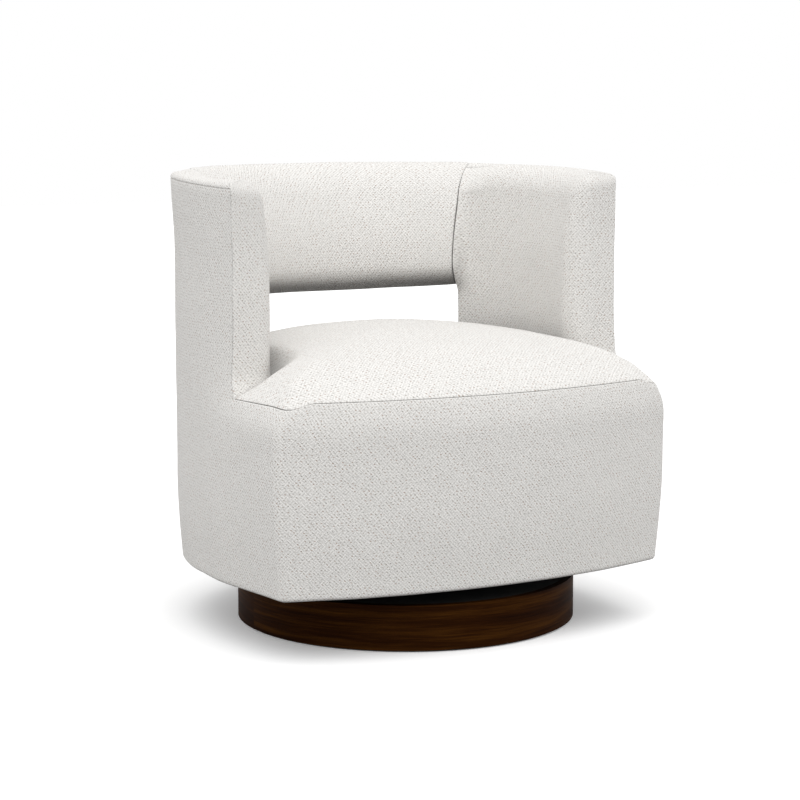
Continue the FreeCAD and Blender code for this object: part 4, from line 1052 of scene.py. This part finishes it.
def walnut():
    """Very dark stained walnut whose grain runs round the hoop."""
    s = Shader("dark_walnut")
    place = s.node("ShaderNodeTexCoord").outputs["Object"]
    parts = s.node("ShaderNodeSeparateXYZ", inputs={"Vector": place})
    angle = s.math("ARCTAN2", parts.outputs[1], parts.outputs[0])
    around = s.math("MULTIPLY", angle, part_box("plinth_hoop")[1].x)

    def grain(height, across, up, lift, detail, roughness):
        place = s.join(s.math("MULTIPLY", around, across), s.math("MULTIPLY", height, up), lift)
        return s.noise(place, 1.0, detail, roughness)

    bendy = grain(parts.outputs[2], 6.0, 14.0, 0.0, 2.0, 0.5)
    lifted = s.math("MULTIPLY_ADD", bendy, 0.012, parts.outputs[2])
    broad = grain(lifted, 3.0, 95.0, 0.3, 4.0, 0.62)
    fine = grain(lifted, 14.0, 620.0, 0.7, 3.0, 0.6)
    ramp = s.node("ShaderNodeValToRGB")
    ramp.color_ramp.elements[0].position = 0.30
    ramp.color_ramp.elements[0].color = rgb(0.0050, 0.0010, 0.0002)
    ramp.color_ramp.elements[1].position = 0.72
    ramp.color_ramp.elements[1].color = rgb(0.066, 0.024, 0.0035)
    middle = ramp.color_ramp.elements.new(0.5)
    middle.color = rgb(0.021, 0.0060, 0.0009)
    s.set(ramp.inputs[0], s.math("MULTIPLY_ADD", fine, 0.35, s.math("MULTIPLY", broad, 0.68)))
    s.set(s.surface.inputs["Base Color"], ramp.outputs[0])
    s.surface.inputs["Roughness"].default_value = 0.6
    s.surface.inputs["Specular IOR Level"].default_value = 0.02
    s.set(s.surface.inputs["Normal"], s.bump(fine, 0.0002, 0.5))
    return s.material


def grained(name, dark, light, scale, roughness, depth=0.0002, upright=1.0, metallic=0.0):
    """A plain material with mottling between two colours. upright is how much finer it is in
    height than across."""
    s = Shader(name)
    place = s.node("ShaderNodeTexCoord").outputs["Object"]
    shaped = s.node("ShaderNodeVectorMath", operation="MULTIPLY")
    s.set(shaped.inputs[0], place)
    shaped.inputs[1].default_value = (1.0, 1.0, upright)
    grain = s.noise(shaped.outputs[0], scale, 4.0, 0.6)
    s.set(s.surface.inputs["Base Color"], s.mix(grain, rgb(*dark), rgb(*light)))
    s.surface.inputs["Roughness"].default_value = roughness
    s.surface.inputs["Metallic"].default_value = metallic
    s.set(s.surface.inputs["Normal"], s.bump(grain, depth, 0.6))
    return s.material


def finishes():
    """Materials of the rigid pieces, by the record's material slots."""
    plain = (
        ("plywood", (0.52, 0.37, 0.20), (0.74, 0.58, 0.38), 30.0, 0.65, 0.0002, 14.0),
        # The swivel spacer is black-painted board, and its near-black also stands in for the deep shade
        # in the gap between seat and plinth
        ("black_board", (0.004, 0.004, 0.004), (0.012, 0.011, 0.011), 160.0, 0.8),
        ("zinc_steel", (0.48, 0.48, 0.48), (0.68, 0.68, 0.69), 240.0, 0.38, 0.0002, 1.0, 1.0),
        ("ball_steel", (0.66, 0.66, 0.67), (0.74, 0.74, 0.75), 90.0, 0.12, 0.00002, 1.0, 1.0),
        ("spring_steel", (0.16, 0.16, 0.17), (0.30, 0.30, 0.31), 180.0, 0.42, 0.0002, 1.0, 1.0),
        ("cage_plastic", (0.72, 0.71, 0.66), (0.80, 0.79, 0.75), 120.0, 0.5),
        ("felt", (0.05, 0.047, 0.044), (0.12, 0.115, 0.11), 900.0, 1.0, 0.0006),
        ("dust_cloth", (0.006, 0.006, 0.006), (0.02, 0.02, 0.02), 1400.0, 0.95),
    )
    found = {row[0]: grained(*row) for row in plain}
    found["dark_walnut"] = walnut()
    return found


def dress_frame():
    """Gives the rigid pieces their finishes."""
    by_slot = finishes()
    for part in frame["record"]["subparts"]:
        finish = by_slot.get(part["material_slot"])
        if finish:
            node = frame["nodes"][part["node"]]
            node.data.materials.clear()
            node.data.materials.append(finish)


def dress(piece, cloth, *nodes, fill=None):
    """Finishes a cloth piece, lets it ride on the seat and stand for its CAD nodes."""
    piece.data.materials.append(cloth)
    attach(piece, "seat")
    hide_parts(*nodes)


def build_covers():
    # Both cloths carry painted shade from ambient occlusion; the bolster's copy is painted far darker
    # underneath, down to 12 % of its colour
    cloth = woven("ivory_weave", 0.50, 0.50)
    deep_painted_shade_cloth = woven("ivory_weave_deep_painted_shade", 0.12, 0.58)
    outside, inside = outside_cover(), arm()
    for side, mirror in (("right", False), ("left", True)):
        dress(outside.piece(side + "_outside", mirror), cloth,
              side + "_outside_cover", side + "_outside_wadding")
        dress(inside.piece(side + "_arm", mirror), cloth,
              side + "_arm_cover", side + "_arm_foam", fill=0.8)
    dress(front_cover().piece("front_boxing"), cloth, "front_cover", "front_padding")
    dress(back_lower_cover().piece("back_lower"), cloth, "back_lower_cover", "back_lower_padding")
    dress(bolster_outside().piece("bolster_outside"), cloth, "bolster_outside_cover")
    # The bolster takes the copy with deep painted shade under its roll
    dress(bolster().piece("bolster"), deep_painted_shade_cloth, "bolster_cover", "bolster_foam", fill=0.75)
    dress(seat().piece("seat"), cloth, "seat_cover", "seat_foam", fill=0.8)


# Studio light
SKY = 0.94
SUN_FORCE = 1.2
SUN_SPREAD = 60.0
SUN_HEIGHT = 64.0
SUN_TURN = -25.0
FLOOR_COLOUR = 0.93
FLOOR_BOUNCE = 0.40
FLOOR_GLOW = 0.17
FLOOR_REACH = 12.0


def sees_background(tree):
    """1 for rays that look at the scene or mirror it, and 0 for rays that light it."""
    path = tree.nodes.new("ShaderNodeLightPath")
    either = path.outputs["Is Camera Ray"]
    for kind in ("Is Glossy Ray", "Is Transmission Ray"):
        larger = tree.nodes.new("ShaderNodeMath")
        larger.operation = "MAXIMUM"
        tree.links.new(either, larger.inputs[0])
        tree.links.new(path.outputs[kind], larger.inputs[1])
        either = larger.outputs[0]
    return either


def sky():
    """An even sky, white where it is seen."""
    world = bpy.data.worlds.new("studio")
    bpy.context.scene.world = world
    world.use_nodes = True
    tree = world.node_tree
    back = tree.nodes["Background"]
    level = tree.nodes.new("ShaderNodeMapRange")
    level.inputs["To Min"].default_value = SKY
    level.inputs["To Max"].default_value = 1.0
    tree.links.new(sees_background(tree), level.inputs["Value"])
    tree.links.new(level.outputs[0], back.inputs["Strength"])
    back.inputs["Color"].default_value = rgb(1.0, 1.0, 1.0)


def lamp():
    """One broad lamp, high on the left of the camera."""
    data = bpy.data.lights.new("broad_lamp", "SUN")
    data.energy = SUN_FORCE
    data.angle = math.radians(SUN_SPREAD)
    holder = linked("broad_lamp", data)
    holder.rotation_euler = (math.radians(90 - SUN_HEIGHT), 0.0, math.radians(SUN_TURN))


def floor():
    """A pale floor, white where it is seen in full light."""
    mesh = bpy.data.meshes.new("floor")
    corners = [(x * FLOOR_REACH, y * FLOOR_REACH, 0) for x, y in ((-1, -1), (1, -1), (1, 1), (-1, 1))]
    mesh.from_pydata(corners, [], [(0, 1, 2, 3)])
    linked("floor", mesh)
    s = Shader("floor_white")
    s.surface.inputs["Roughness"].default_value = 1.0
    s.surface.inputs["Specular IOR Level"].default_value = 0.0
    s.surface.inputs["Emission Color"].default_value = rgb(1.0, 1.0, 1.0)
    shown = sees_background(s.tree)
    s.set(s.surface.inputs["Emission Strength"], s.math("MULTIPLY", shown, FLOOR_GLOW))
    lighting, looks = [rgb(grey, grey, grey) for grey in (FLOOR_BOUNCE, FLOOR_COLOUR)]
    s.set(s.surface.inputs["Base Color"], s.mix(shown, lighting, looks))
    mesh.materials.append(s.material)


def camera():
    data = bpy.data.cameras.new("camera")
    data.lens = CAMERA_LENS
    data.sensor_width = SENSOR
    data.sensor_fit = "HORIZONTAL"
    holder = linked("camera", data)
    holder.location = CAMERA_PLACE
    holder.rotation_euler = (math.radians(90 - CAMERA_TILT), 0.0, -math.radians(CAMERA_TURN))
    bpy.context.scene.camera = holder


bpy.context.scene.view_settings.view_transform = "Standard"
camera()
sky()
lamp()
floor()
dress_frame()
build_covers()
bpy.context.view_layer.update()
